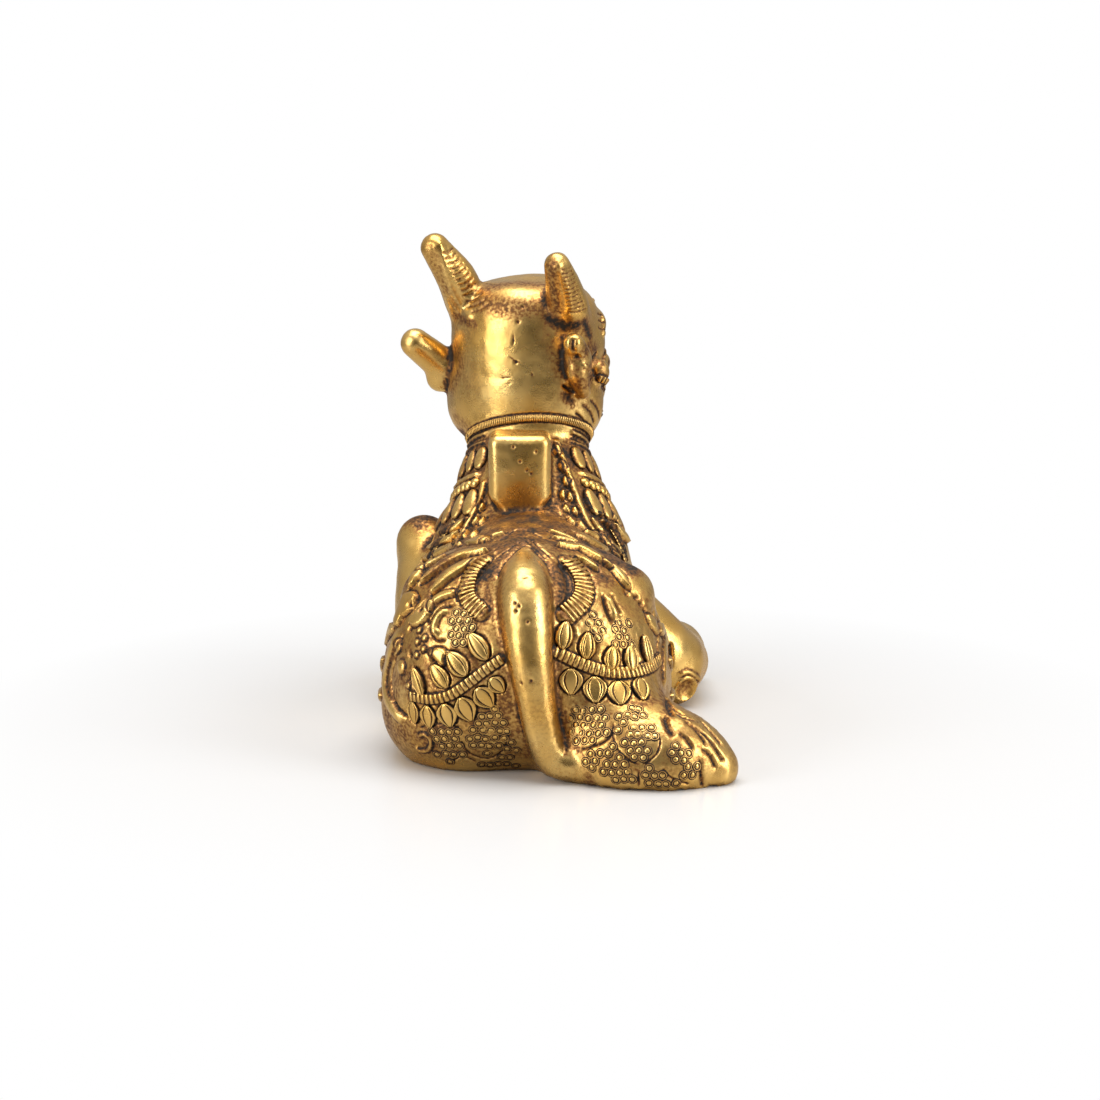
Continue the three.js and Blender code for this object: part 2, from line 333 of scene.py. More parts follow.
def neck_forms():
    return [
        taper(NECK_FOOT, NECK_TOP, NECK_FOOT_RADIUS, NECK_TOP_RADIUS, NECK_BROAD, BACK),
        limb([((-1, -42.5, 56), 6.5), ((0, -42, 40), 8), ((0, -37, 20), 12)], 1.2, BACK),
    ]


def hip_forms():
    """The knob of each hip bone; the right one stands out smooth in the photograph."""
    return [
        egg((19.2, 27, 34.4), (6.4, 7.5, 6)),
        egg((-20.6, 28, 34.8), (6.2, 7, 5.8)),
    ]


def leg_forms():
    return [
        limb([((15, -8, 15), 13), (LEFT_ELBOW, 8.4), (LEFT_KNEE, 5.7)]),
        limb([(LEFT_KNEE, 5.7), ((24.9, -37.5, 21), 5), (LEFT_FETLOCK, 4.6), (LEFT_FORE_TOE, 5.8)], 1, BACK),
        limb([((-15, -21, 20), 13), (RIGHT_ELBOW, 7.7), (RIGHT_KNEE, 6.8)]),
        limb([(RIGHT_KNEE, 6.8), ((-33.6, -28, 5.2), 4.2), (RIGHT_FORE_TOE, 5)]),
        limb([((-9, 43.5, 5), 7), (HOCK, 9.6), ((-28.5, 48.6, 5), 9.8)]),
        taper((-12, 34, 17), (-19.5, 43, 9), 14, 11),
        limb([((-27, 43, 6), 9), ((-34, 47.2, 4.4), 7.4), (RIGHT_HIND_TOE, 5.7)]),
        taper((22.5, 14, 6), LEFT_HIND_TOE, 6.5, 5),
    ]


def tail_forms():
    return [limb([
        ((0.2, 36, 43.6), 2.0), ((0.2, 41.5, 40.2), 4.7), ((0, 46.2, 36.8), 5.4), ((-0.7, 49.6, 29), 4.9),
        ((-1.9, 51.0, 20), 4.1), ((-3.5, 50.4, 10.5), 3.7), ((-6.2, 49.2, 4.8), 3.8),
        ((-11.5, 49.6, 3.6), 3.4), ((-15.5, 49.4, 3), 2.4),
    ], 1, BACK)]


def skull_forms():
    """The nape is upright and broad, as in the photograph; the muzzle reaches forward."""
    return [
        head_barrel((0.7, 0.5, -1.8), (17.8, 14.2, 19.4), 3.8),
        head_barrel((1.5, 2, -9.5), (19, 14, 10), 3.0),
        head_egg((0, 5, 9.5), (14.6, 10, 9)),
        head_limb([((0, 6, 1), 12.6), ((1, 14, -5), 10.6), ((2, 21, -9.6), 8.5)], 1.06),
        head_egg((2.4, 23.2, -10.2), (9.4, 6, 7.6), 20),
    ]


def brow_forms():
    forms = []
    for side in (1, -1):
        forms += [
            head_egg((side * 12.8, 6.5, 3.5), (3.6, 5, 7)),
            head_egg((side * 12.6, 11, -1.6), (3, 3.8, 3)),
            head_limb([((side * 6, 12.6, 8.6), 3), ((side * 11.4, 10.2, 7.6), 3.6)]),
        ]
    return forms


def horn_forms():
    left = [((9.8, -1.5, 6), 4.8), ((12.2, -4.9, 11.2), 4.9),
            ((12.9, -9.5, 18.4), 4.5), ((15.6, -14, 25.3), 3.3)]
    right = [((-9.8, -0.5, 6), 5), ((-12.8, -3.2, 11), 5.1),
             ((-14.4, -7.6, 16.8), 4.1), ((-15.2, -12, 22.2), 2.9)]
    return [head_limb(left), head_limb(right)]


def ear_forms():
    """The left ear stands out over a lobe; the right one is a curled cup with a flap and a lobe in front."""
    return [
        head_limb([((15, -3.5, -4.5), 3.4), ((19.3, -6.5, -1.6), 3.9), ((22.9, -11.3, 3), 3.5)]),
        head_egg((19.8, -5.8, -5.2), (3.2, 3, 3.4)),
        head_limb([((-15, -3, -3), 3.4), ((-17.6, -6.2, 1), 2.9), ((-18.4, -10, 4.8), 2.3)]),
        head_limb([((-17.4, -7.2, 2), 2.2), ((-18.1, -7.6, -2), 2.5), ((-18.2, -5.4, -6.4), 1.8)]),
        head_egg((-18.2, 2.8, -2.8), (1.9, 2.4, 2.9)),
    ]


def body_forms():
    """Every form with how softly it blends into the ones before it, in millimetres."""
    groups = (
        (4.0, trunk_forms()),
        (3.0, neck_forms()),
        (2.5, hip_forms()),
        (3.0, leg_forms()),
        (0.9, tail_forms()),
        (3.0, skull_forms()),
        (1.6, brow_forms()),
        (1.4, horn_forms()),
        (1.6, ear_forms()),
        (1.2, [hump_form]),
    )
    return [(form, softness) for softness, forms in groups for form in forms]


FORMS = body_forms()


def body_distance(points):
    """Distance to the smooth casting, negative inside it; the ground cuts it off at z = 0."""
    total = None
    for form, softness in FORMS:
        other = form(points)
        if total is None:
            total = other
            continue
        overlap = np.maximum(softness - np.abs(total - other), 0) / softness
        total = np.minimum(total, other) - overlap * overlap * softness * 0.25
    return np.maximum(total, -points[:, 2])


def body_normal(points):
    """Outward directions of the smooth casting by differences at four corners."""
    corners = np.array([(1, -1, -1), (-1, -1, 1), (-1, 1, -1), (1, 1, 1)], float)
    slope = np.zeros_like(points)
    for corner in corners:
        slope += corner * body_distance(points + corner * SLOPE_STEP)[:, None]
    return slope / (np.linalg.norm(slope, axis=1, keepdims=True) + 1e-12)


# Meshing of the smooth casting

def sample_grid(low, high, step):
    """The distance field on a regular grid, a few sheets at a time."""
    axes = [np.arange(low[i], high[i] + step, step) for i in range(3)]
    field = np.empty([len(axis) for axis in axes])
    sheet = np.stack(np.meshgrid(axes[1], axes[2], indexing="ij"), -1).reshape(-1, 2)
    for first in range(0, len(axes[0]), SHEETS_AT_ONCE):
        xs = axes[0][first:first + SHEETS_AT_ONCE]
        points = np.column_stack([np.repeat(xs, len(sheet)), np.tile(sheet, (len(xs), 1))])
        field[first:first + SHEETS_AT_ONCE] = body_distance(points).reshape(len(xs), *field.shape[1:])
    return field


def surface_net(field, low, step):
    """Quads around every grid edge that crosses the surface, one point to a crossed cell."""
    cells = np.array(field.shape) - 1
    total = np.zeros((cells.prod(), 3))
    count = np.zeros(cells.prod())
    quads = []
    for axis in range(3):
        others = [(axis + 1) % 3, (axis + 2) % 3]
        before = np.take(field, range(field.shape[axis] - 1), axis)
        after = np.take(field, range(1, field.shape[axis]), axis)
        corner = np.argwhere((before < 0) != (after < 0))
        first, second = before[tuple(corner.T)], after[tuple(corner.T)]
        crossing = corner.astype(float)
        crossing[:, axis] += first / (first - second)
        touching = []
        for back_a, back_b in ((0, 0), (1, 0), (1, 1), (0, 1)):
            cell = corner.copy()
            cell[:, others[0]] -= back_a
            cell[:, others[1]] -= back_b
            flat = np.ravel_multi_index(tuple(cell.T), cells)
            np.add.at(total, flat, crossing)
            np.add.at(count, flat, 1)
            touching.append(flat)
        quad = np.column_stack(touching)
        outward = first < 0
        quads.append(np.where(outward[:, None], quad, quad[:, ::-1]))
    used = np.flatnonzero(count)
    number = np.full(len(count), -1)
    number[used] = np.arange(len(used))
    points = low + step * total[used] / count[used, None]
    return points, number[np.concatenate(quads)]


def halve_quads(points, quads):
    """Each quad as two triangles across its shorter diagonal."""
    a, b, c, d = (points[quads[:, i]] for i in range(4))
    short = np.linalg.norm(a - c, axis=1) < np.linalg.norm(b - d, axis=1)
    one = np.where(short[:, None], quads[:, [0, 1, 2]], quads[:, [0, 1, 3]])
    two = np.where(short[:, None], quads[:, [0, 2, 3]], quads[:, [1, 2, 3]])
    return np.concatenate([one, two])


def settle(points):
    """Moves points onto the smooth casting."""
    for _ in range(SETTLE_ROUNDS):
        points = points - body_normal(points) * body_distance(points)[:, None]
    return points


def split_edges(points, triangles, wanted):
    """Halves every edge that is longer than the wanted length there, without gaps."""
    sides = np.stack([triangles, np.roll(triangles, -1, axis=1)], -1)
    sides = np.sort(sides, axis=2).reshape(-1, 2)
    keys = sides[:, 0] * len(points) + sides[:, 1]
    unique, inverse = np.unique(keys, return_inverse=True)
    start, end = np.divmod(unique, len(points))
    middle = (points[start] + points[end]) / 2
    long = np.linalg.norm(points[start] - points[end], axis=1) > wanted(middle) * SPLIT_SLACK
    number = np.where(long, len(points) + np.cumsum(long) - 1, -1)
    marks = number[inverse].reshape(-1, 3)
    points = np.concatenate([points, middle[long]])
    halves = (marks >= 0).sum(axis=1)
    made = [triangles[halves == 0]]
    for amount in (1, 2):
        chosen = np.flatnonzero(halves == amount)
        if not len(chosen):
            continue
        cut = marks[chosen] >= 0
        lead = cut.argmax(axis=1) if amount == 1 else (np.argmin(cut, axis=1) + 1) % 3
        order = (np.arange(3)[None] + lead[:, None]) % 3
        corner = np.take_along_axis(triangles[chosen], order, axis=1)
        mark = np.take_along_axis(marks[chosen], order, axis=1)
        if amount == 1:
            made.append(np.column_stack([corner[:, 0], mark[:, 0], corner[:, 2]]))
            made.append(np.column_stack([mark[:, 0], corner[:, 1], corner[:, 2]]))
            continue
        made.append(np.column_stack([mark[:, 0], corner[:, 1], mark[:, 1]]))
        quad = np.column_stack([corner[:, 0], mark[:, 0], mark[:, 1], corner[:, 2]])
        made.append(halve_quads(points, quad))
    every = halves == 3
    corner, mark = triangles[every], marks[every]
    for k in range(3):
        made.append(np.column_stack([corner[:, k], mark[:, k], mark[:, k - 1]]))
    made.append(mark)
    return points, np.concatenate(made)


# The photograph's rays, and rays from the other sides

def seen(marks):
    """Rays of the photograph through pixels."""
    forward = np.array([0, -math.cos(CAMERA_RISE), -math.sin(CAMERA_RISE)])
    upward = np.array([0, -math.sin(CAMERA_RISE), math.cos(CAMERA_RISE)])
    eye = CAMERA_TARGET - forward * CAMERA_DISTANCE
    right = (marks[:, :1] - PHOTO_CENTRE) / FOCAL_PIXELS
    rise = (PHOTO_CENTRE - marks[:, 1:]) / FOCAL_PIXELS
    rays = forward - right * np.array([1, 0, 0]) + rise * upward
    return np.tile(eye, (len(marks), 1)), rays


def beside(side):
    """Rays across the bull from its left (1) or right (-1), through places (y, z)."""
    def rays(marks):
        origin = np.column_stack([np.full(len(marks), side * 90.0), marks])
        return origin, np.tile([-side, 0.0, 0.0], (len(marks), 1))
    return rays


def ahead(marks):
    """Rays from in front of the bull through places (x, z)."""
    origin = np.column_stack([marks[:, 0], np.full(len(marks), -120.0), marks[:, 1]])
    return origin, np.tile([0, 1.0, 0], (len(marks), 1))


def before_face(marks):
    """Rays into the face through places (left, up) in the head's frame."""
    origin = np.array([in_head((left, 60, up)) for left, up in marks])
    return origin, np.tile(in_head((0, -1, 0)) - HEAD_CENTRE, (len(marks), 1))


def beside_head(side):
    """Rays into one side of the head through places (forward, up) in its frame."""
    def rays(marks):
        origin = np.array([in_head((side * 60, forward, up)) for forward, up in marks])
        return origin, np.tile(in_head((-side, 0, 0)) - HEAD_CENTRE, (len(marks), 1))
    return rays


def around(foot, top, left, broad, clearance):
    """Rays into a limb through places (share of its length, angle from behind in degrees)."""
    axis = (top - foot) / np.linalg.norm(top - foot)
    behind = np.cross(axis, left)

    def rays(marks):
        angle = np.radians(marks[:, 1:])
        outward = np.sin(angle) * left * broad + np.cos(angle) * behind
        middle = foot + marks[:, :1] * (top - foot)
        return middle + outward * clearance, -outward
    return rays


round_neck = around(NECK_FOOT, NECK_TOP, np.array([1.0, 0, 0]), NECK_BROAD, NECK_CLEARANCE)
round_muzzle = around(in_head((0, 8, -1)), in_head((2, 22, -10)), in_head((1, 0, 0)) - HEAD_CENTRE, 1.0, 18.0)


class Skin:
    """The smooth casting as triangles that rays can be stopped on."""

    def __init__(self, points, triangles):
        self.tree = BVHTree.FromPolygons(points.tolist(), triangles.tolist())
        self.triangles = triangles
        self.normals = body_normal(points)

    def stop(self, rays):
        """Where rays meet the casting and the outward directions there; misses are left out."""
        places, normals = [], []
        for origin, direction in zip(*rays):
            place, _, face, _ = self.tree.ray_cast(Vector(origin), Vector(direction).normalized())
            if place is None:
                continue
            places.append(place)
            normals.append(self.normals[self.triangles[face]].mean(axis=0))
        return np.array(places).reshape(-1, 3), np.array(normals).reshape(-1, 3)


def even_steps(places, normals, spacing):
    """A line with its places a set distance apart."""
    lengths = np.concatenate([[0], np.cumsum(np.linalg.norm(np.diff(places, axis=0), axis=1))])
    amount = max(2, int(round(lengths[-1] / spacing)) + 1)
    marks = np.linspace(0, lengths[-1], amount)
    places = np.column_stack([np.interp(marks, lengths, places[:, i]) for i in range(3)])
    normals = np.column_stack([np.interp(marks, lengths, normals[:, i]) for i in range(3)])
    return places, normals / np.linalg.norm(normals, axis=1, keepdims=True)


# Relief: what is raised or cut along lines and at spots

HASH_PRIMES = np.array([73856093, 19349663, 83492791])
GRAIN = ((1.3, 0.04), (5.0, 0.09))


def noise(points, size, seed):
    """Smooth seeded noise between -1 and 1, with lumps of the given size."""
    scaled = points / size + seed * 31.7
    cell = np.floor(scaled).astype(np.int64)
    share = scaled - cell
    share = share * share * (3 - 2 * share)
    total = np.zeros(len(points))
    for corner in itertools.product((0, 1), repeat=3):
        mixed = np.bitwise_xor.reduce((cell + corner) * HASH_PRIMES, axis=1)
        mixed = (mixed ^ (mixed >> 13)) * 1274126177 & 0xFFFFFFFF
        value = ((mixed ^ (mixed >> 16)) & 0xFFFF) / 0x7FFF - 1
        total += value * np.prod(np.where(corner, share, 1 - share), axis=1)
    return total


def grain(points):
    """How far the cast skin swells and sinks of itself."""
    return sum(height * noise(points, size, seed) for seed, (size, height) in enumerate(GRAIN, 1))


def longest_run(places, normals):
    """The longest stretch of a line that doesn't jump from one form to another."""
    if len(places) < 2:
        return places, normals
    breaks = np.flatnonzero(np.linalg.norm(np.diff(places, axis=0), axis=1) > LINE_JUMP) + 1
    runs = np.split(np.arange(len(places)), breaks)
    best = max(runs, key=len)
    return places[best], normals[best]


class Relief:
    """Everything that is raised, cut or darkened on the casting, gathered before it is applied."""

    def __init__(self, skin):
        self.skin = skin
        self.lines = []
        self.spots = []

    def line(self, view, marks, shape, reach, fine=0.3):
        """A shape along a line of marks: shape(along, across, length) gives (height, darkness)."""
        places, normals = longest_run(*self.skin.stop(view(curve_through(marks))))
        if len(places) < 2:
            raise ValueError(f"a line of relief misses the casting: {marks}")
        places, normals = even_steps(places, normals, LINE_SPACING)
        self.lines.append((places, normals, shape, reach, fine))
        return places, normals

    def lines_of(self, view, group, shape, reach, fine=0.3):
        """The same shape along every line of a group."""
        for marks in group:
            self.line(view, marks, shape, reach, fine)

    def spot(self, view, marks, shape, reach, fine=0.3):
        """A round shape at each mark: shape(distance) gives (height, darkness)."""
        places, _ = self.skin.stop(view(np.array(marks, float)))
        self.spots.append((places, shape, reach, fine))


def bed(width, depth):
    """A sunken bed round something raised that narrows to both ends, dark with patina and painted shade where
    the raised piece meets the casting.
    """
    def shape(along, across, length):
        half = width * np.sin(math.pi * np.clip(along / length, 0, 1)) ** 0.5 + 0.25
        profile = 1 - smooth_step(half * 0.7, half, np.abs(across))
        return -depth * profile, profile
    return shape


def leaf(width, height, full=0.55):
    """A raised leaf, pointed at both ends, with a crisp edge over a dark undercut."""
    def shape(along, across, length):
        share = np.clip(along / length, 0, 1)
        half = width * np.sin(math.pi * share) ** full + 0.05
        side = np.abs(across)
        top = 1 - smooth_step(half - 0.4, half, side)
        crown = 1 - 0.4 * np.clip(side / half, 0, 1) ** 2
        foot = np.exp(-(((side - half - 0.2) / 0.3) ** 2))
        return height * top * crown - 0.35 * foot, foot
    return shape


def crease(width, height):
    """A sharp edge between two facets."""
    def shape(along, across, length):
        fade = smooth_step(0, 2, along) * smooth_step(0, 2, length - along)
        return height * fade * np.clip(1 - np.abs(across) / width, 0, 1), np.zeros(len(across))
    return shape


def film(width, darkness):
    """A brown film that raises nothing: brown staining, and painted shade where it darkens edges and creases.
    """
    def shape(along, across, length):
        return np.zeros(len(across)), darkness * np.exp(-((across / width) ** 2))
    return shape


def cut(width, depth, darkness=1.0, ends=1.2):
    """A chased line: a narrow dark groove that runs out over the length of its ends."""
    def shape(along, across, length):
        fade = smooth_step(0, ends, along) * smooth_step(0, ends, length - along)
        profile = np.exp(-((across / width) ** 2)) * fade
        return -depth * profile, darkness * profile
    return shape


def ridge(width, height, outline):
    """A rounded ridge with a dark line along each foot."""
    def shape(along, across, length):
        fade = smooth_step(0, 2 * width, along) * smooth_step(0, 2 * width, length - along)
        share = np.clip(np.abs(across) / width, 0, 1)
        round_top = np.sqrt(np.maximum(1 - share**2, 0))
        foot = np.exp(-(((np.abs(across) - width) / 0.35) ** 2)) * fade
        return height * round_top * fade, outline * foot
    return shape


def strap(width, height, edge, ground):
    """A flat raised band between two chased lines, its top as dark as the ground between its ribs."""
    def shape(along, across, length):
        side = np.abs(across)
        top = 1 - smooth_step(width - edge, width, side)
        foot = np.exp(-(((side - width - 0.1) / 0.3) ** 2))
        return height * top - 0.15 * foot, np.maximum(foot, ground * top)
    return shape


def dome(radius, height, outline):
    """A round boss in a dark ring."""
    def shape(distance):
        share = np.clip(distance / radius, 0, 1)
        foot = np.exp(-(((distance - radius) / 0.3) ** 2))
        return height * np.sqrt(1 - share**2), outline * foot
    return shape


def bowl(radius, depth, darkness):
    """A round hollow with a clear rim."""
    def shape(distance):
        share = np.clip(distance / radius, 0, 1)
        rim = np.exp(-(((distance - radius) / 0.35) ** 2))
        return 0.4 * rim - depth * (1 - share**2) ** 0.7, darkness * (1 - share**4)
    return shape


def stain_and_shade(radius, darkness):
    """A round brown spot that raises nothing; in the ear's cup it is painted shade."""
    def shape(distance):
        return np.zeros(len(distance)), darkness * np.exp(-((distance / radius) ** 2))
    return shape


def pit(radius, depth):
    """A small dark hole."""
    def shape(distance):
        profile = np.exp(-((distance / radius) ** 2))
        return -depth * profile, profile
    return shape


def near_line(points, places, normals, reach):
    """Points within reach of a line: their numbers, how far along it, and how far to its right."""
    low, high = places.min(axis=0) - reach, places.max(axis=0) + reach
    chosen = np.flatnonzero(((points > low) & (points < high)).all(axis=1))
    if not len(chosen):
        return chosen, None, None
    start, span = places[:-1], np.diff(places, axis=0)
    length = np.linalg.norm(span, axis=1)
    begun = np.concatenate([[0], np.cumsum(length)])[:-1]
    best = np.full(len(chosen), 1e9)
    along = np.zeros(len(chosen))
    right = np.zeros(len(chosen))
    for k in range(len(span)):
        to = points[chosen] - start[k]
        share = np.clip(to @ span[k] / length[k] ** 2, 0, 1)
        gap = np.linalg.norm(to - share[:, None] * span[k], axis=1)
        closer = gap < best
        best[closer] = gap[closer]
        along[closer] = begun[k] + share[closer] * length[k]
        right[closer] = np.sign(to[closer] @ np.cross(span[k], normals[k]))
    within = best < reach
    return chosen[within], along[within], (best * right)[within]


def relief_height(points, relief):
    """Height and darkness of the relief at every point of the smooth casting."""
    raised = np.zeros(len(points))
    sunk = np.zeros(len(points))
    dark = np.zeros(len(points))

    def lay(chosen, height, darkness):
        raised[chosen] = np.maximum(raised[chosen], height)
        sunk[chosen] = np.minimum(sunk[chosen], np.minimum(height, 0))
        dark[chosen] = np.maximum(dark[chosen], darkness)

    for places, normals, shape, reach, _ in relief.lines:
        chosen, along, across = near_line(points, places, normals, reach)
        if len(chosen):
            length = np.linalg.norm(np.diff(places, axis=0), axis=1).sum()
            lay(chosen, *shape(along, across, length))
    for places, shape, reach, _ in relief.spots:
        for place in places:
            chosen = np.flatnonzero((np.abs(points - place) < reach).all(axis=1))
            distance = np.linalg.norm(points[chosen] - place, axis=1)
            close = distance < reach
            lay(chosen[close], *shape(distance[close]))
    return raised + sunk, dark


# Small shapes, each about one unit in size, that are scaled and laid on the casting many times

def template(name, points, faces, patina_and_shade):
    """A small mesh that is laid on the casting by nodes, with its own darkness: patina and painted shade at
    its foot and in its grooves.
    """
    mesh = bpy.data.meshes.new(name)
    mesh.from_pydata(points, [], faces)
    layer = mesh.attributes.new("patina_and_shade", "FLOAT", "POINT")
    layer.data.foreach_set("value", np.array(patina_and_shade, np.float32))
    mesh.materials.append(brass())
    mesh.shade_smooth()
    return bpy.data.objects.new(name, mesh)


def sleeve(rows, wide, first=0, inside_out=False):
    """Faces that join rows of points, each row closed on itself."""
    faces = []
    for row in range(first, first + (rows - 1) * wide, wide):
        for k in range(wide):
            after = (k + 1) % wide
            a, b, c, d = row + k, row + wide + k, row + wide + after, row + after
            faces.append((a, d, c, b) if inside_out else (a, b, c, d))
    return faces


def spun_template(name, profile, segments):
    """A profile of (radius, height, darkness) spun about Z."""
    points = [(0.0, 0.0, profile[0][1])]
    patina_and_shade = [profile[0][2]]
    faces = []
    for radius, height, darkness in profile[1:]:
        for k in range(segments):
            angle = 2 * math.pi * k / segments
            points.append((radius * math.cos(angle), radius * math.sin(angle), height))
            patina_and_shade.append(darkness)
    for k in range(segments):
        faces.append((0, 1 + k, 1 + (k + 1) % segments))
    faces += sleeve(len(profile) - 1, segments, first=1)
    last = 1 + (len(profile) - 2) * segments
    faces.append(tuple(last + k for k in reversed(range(segments))))
    return template(name, points, faces, patina_and_shade)


def bar_template(name):
    """A short rounded bar across Y, one wide and one high."""
    section = ((-0.5, -0.5, 1.0), (-0.38, 0.65, 0.25), (0.0, 1.0, 0.0), (0.38, 0.65, 0.25), (0.5, -0.5, 1.0))
    stations = ((-0.5, 0.0), (-0.44, 0.8), (0.0, 1.0), (0.44, 0.8), (0.5, 0.0))
    points, patina_and_shade = [], []
    for y, share in stations:
        for x, z, darkness in section:
            points.append((x * (0.7 + 0.3 * share), y, z * share if z > 0 else z))
            # Darker towards its foot and its ends: patina and painted shade where it meets the casting
            patina_and_shade.append(max(darkness, 1 - 1.2 * share))
    wide = len(section)
    faces = sleeve(len(stations), wide, inside_out=True)
    faces.append(tuple(reversed(range(wide))))
    faces.append(tuple((len(stations) - 1) * wide + k for k in range(wide)))
    return template(name, points, faces, patina_and_shade)


# Half a petal from its middle to its rim, as (share of its half width, height, darkness)
DOMED_SECTION = ((0.0, 1.0, 0.0), (0.24, 0.97, 0.0), (0.40, 0.9, 0.1), (0.45, 0.6, 1.0), (0.52, 0.58, 1.0),
                 (0.57, 0.82, 0.1), (0.7, 0.76, 0.0), (0.86, 0.54, 0.1), (0.95, 0.28, 0.7), (1.0, -0.4, 1.0))
FLAT_SECTION = ((0.0, 1.0, 0.0), (0.3, 1.0, 0.0), (0.40, 0.95, 0.1), (0.45, 0.4, 1.0), (0.52, 0.4, 1.0),
                (0.57, 0.95, 0.1), (0.74, 1.0, 0.0), (0.84, 0.9, 0.2), (0.9, 0.3, 1.0), (1.0, -0.4, 1.0))
PLAIN_SECTION = ((0.0, 1.0, 0.12), (0.35, 0.93, 0.12), (0.62, 0.78, 0.2), (0.82, 0.5, 0.5), (0.94, 0.2, 0.9),
                 (1.0, -0.4, 1.0))
PETAL_STATIONS = (0.0, 0.04, 0.14, 0.3, 0.46, 0.62, 0.76, 0.88, 0.96, 1.0)


def petal_template(name, half_section, fullest, blunt):
    """A petal from its root at X = 0 to its tip at X = 1, of the given section."""
    left = tuple((-across, height, darkness) for across, height, darkness in reversed(half_section[1:]))
    columns = left + half_section
    points, patina_and_shade = [], []
    for share in PETAL_STATIONS:
        bend = share / fullest * 0.5 if share < fullest else 0.5 + (share - fullest) / (1 - fullest) * 0.5
        half = 0.5 * max(math.sin(math.pi * bend), 0.0) ** blunt
        end = share in (0.0, 1.0)
        lift = 0.5 + 0.5 * math.sin(math.pi * share) ** 0.6
        for across, height, darkness in columns:
            z = -0.4 if end else (height * lift if height > 0 else height)
            points.append((share, across * max(half, 0.12), z))
            # The ends, where the petal meets the casting, are darkest: patina and painted shade
            patina_and_shade.append(1.0 if end else darkness)
    wide = len(columns)
    faces = sleeve(len(PETAL_STATIONS), wide)
    faces.append(tuple(range(wide)))
    faces.append(tuple((len(PETAL_STATIONS) - 1) * wide + k for k in reversed(range(wide))))
    return template(name, points, faces, patina_and_shade)


# Geometry nodes that lay a template on points, or repeat it along lines

def feed(tree, socket, value):
    """Links a socket to another one, or sets it to a plain value."""
    if isinstance(value, bpy.types.NodeSocket):
        tree.links.new(value, socket)
    else:
        socket.default_value = value


def add_node(tree, kind, inputs=None, **settings):
    """A node with its settings, its inputs given as sockets or plain values."""
    node = tree.nodes.new(kind)
    for name, value in settings.items():
        setattr(node, name, value)
    for name, value in (inputs or {}).items():
        feed(tree, node.inputs[name], value)
    return node


def named_attribute(tree, name):
    node = add_node(tree, "GeometryNodeInputNamedAttribute", {"Name": name}, data_type="FLOAT_VECTOR")
    return node.outputs["Attribute"]


def placed_template(tree, source, points, secondary):
    """Instances of the template on points, realized and given the material."""
    given = source.outputs
    info = add_node(tree, "GeometryNodeObjectInfo", {"Object": given["Template"]})
    turn = add_node(tree, "FunctionNodeAxesToRotation",
                    {"Primary Axis": named_attribute(tree, "facing"), "Secondary Axis": secondary},
                    primary_axis="Z", secondary_axis="X")
    scale = add_node(tree, "ShaderNodeVectorMath",
                     {"Vector": named_attribute(tree, "size"), "Scale": given["Scale"]}, operation="SCALE")
    lay = add_node(tree, "GeometryNodeInstanceOnPoints",
                   {"Points": points, "Instance": info.outputs["Geometry"],
                    "Rotation": turn.outputs["Rotation"], "Scale": scale.outputs["Vector"]})
    real = add_node(tree, "GeometryNodeRealizeInstances", {"Geometry": lay.outputs["Instances"]})
    finish = add_node(tree, "GeometryNodeSetMaterial",
                      {"Geometry": real.outputs["Geometry"], "Material": given["Material"]})
    add_node(tree, "NodeGroupOutput", {"Geometry": finish.outputs["Geometry"]})


def new_tree(name, *sizes):
    """A node tree that takes a geometry, a template, its material and the named sizes."""
    tree = bpy.data.node_groups.new(name, "GeometryNodeTree")
    inputs = [("Geometry", "Geometry"), ("Template", "Object"), ("Material", "Material")]
    inputs += [(size, "Float") for size in sizes]
    for label, kind in inputs:
        tree.interface.new_socket(label, in_out="INPUT", socket_type="NodeSocket" + kind)
    tree.interface.new_socket("Geometry", in_out="OUTPUT", socket_type="NodeSocketGeometry")
    return tree, tree.nodes.new("NodeGroupInput")


def lay_on_points_tree():
    tree, source = new_tree("lay on points", "Scale")
    placed_template(tree, source, source.outputs["Geometry"], named_attribute(tree, "along"))
    return tree


def repeat_along_lines_tree():
    tree, source = new_tree("repeat along lines", "Scale", "Spacing")
    curve = add_node(tree, "GeometryNodeMeshToCurve", {"Mesh": source.outputs["Geometry"]})
    steps = add_node(tree, "GeometryNodeResampleCurve",
                     {"Curve": curve.outputs["Curve"], "Length": source.outputs["Spacing"]}, mode="LENGTH")
    tangent = add_node(tree, "GeometryNodeInputTangent").outputs["Tangent"]
    placed_template(tree, source, steps.outputs["Curve"], tangent)
    return tree


def carrier(name, points, edges, **vectors):
    """A mesh of bare points or lines that carries the vectors its nodes read."""
    mesh = bpy.data.meshes.new(name)
    mesh.from_pydata(to_frame(points).tolist(), edges, [])
    for attribute, values in vectors.items():
        layer = mesh.attributes.new(attribute, "FLOAT_VECTOR", "POINT")
        layer.data.foreach_set("vector", np.asarray(values, np.float32).ravel())
    return bpy.data.objects.new(name, mesh)


def realized(name, carrier_object, tree, **values):
    """The carrier's node result as a plain mesh object; carrier and template are thrown away."""
    bpy.context.scene.collection.objects.link(carrier_object)
    modifier = carrier_object.modifiers.new("nodes", "NODES")
    modifier.node_group = tree
    for item in tree.interface.items_tree:
        if item.in_out == "INPUT" and item.name in values:
            modifier[item.identifier] = values[item.name]
    evaluated = carrier_object.evaluated_get(bpy.context.evaluated_depsgraph_get())
    mesh = bpy.data.meshes.new_from_object(evaluated)
    mesh.name = name
    piece = bpy.data.objects.new(name, mesh)
    bpy.context.scene.collection.objects.link(piece)
    bpy.data.objects.remove(carrier_object)
    bpy.data.objects.remove(values["Template"])
    return piece


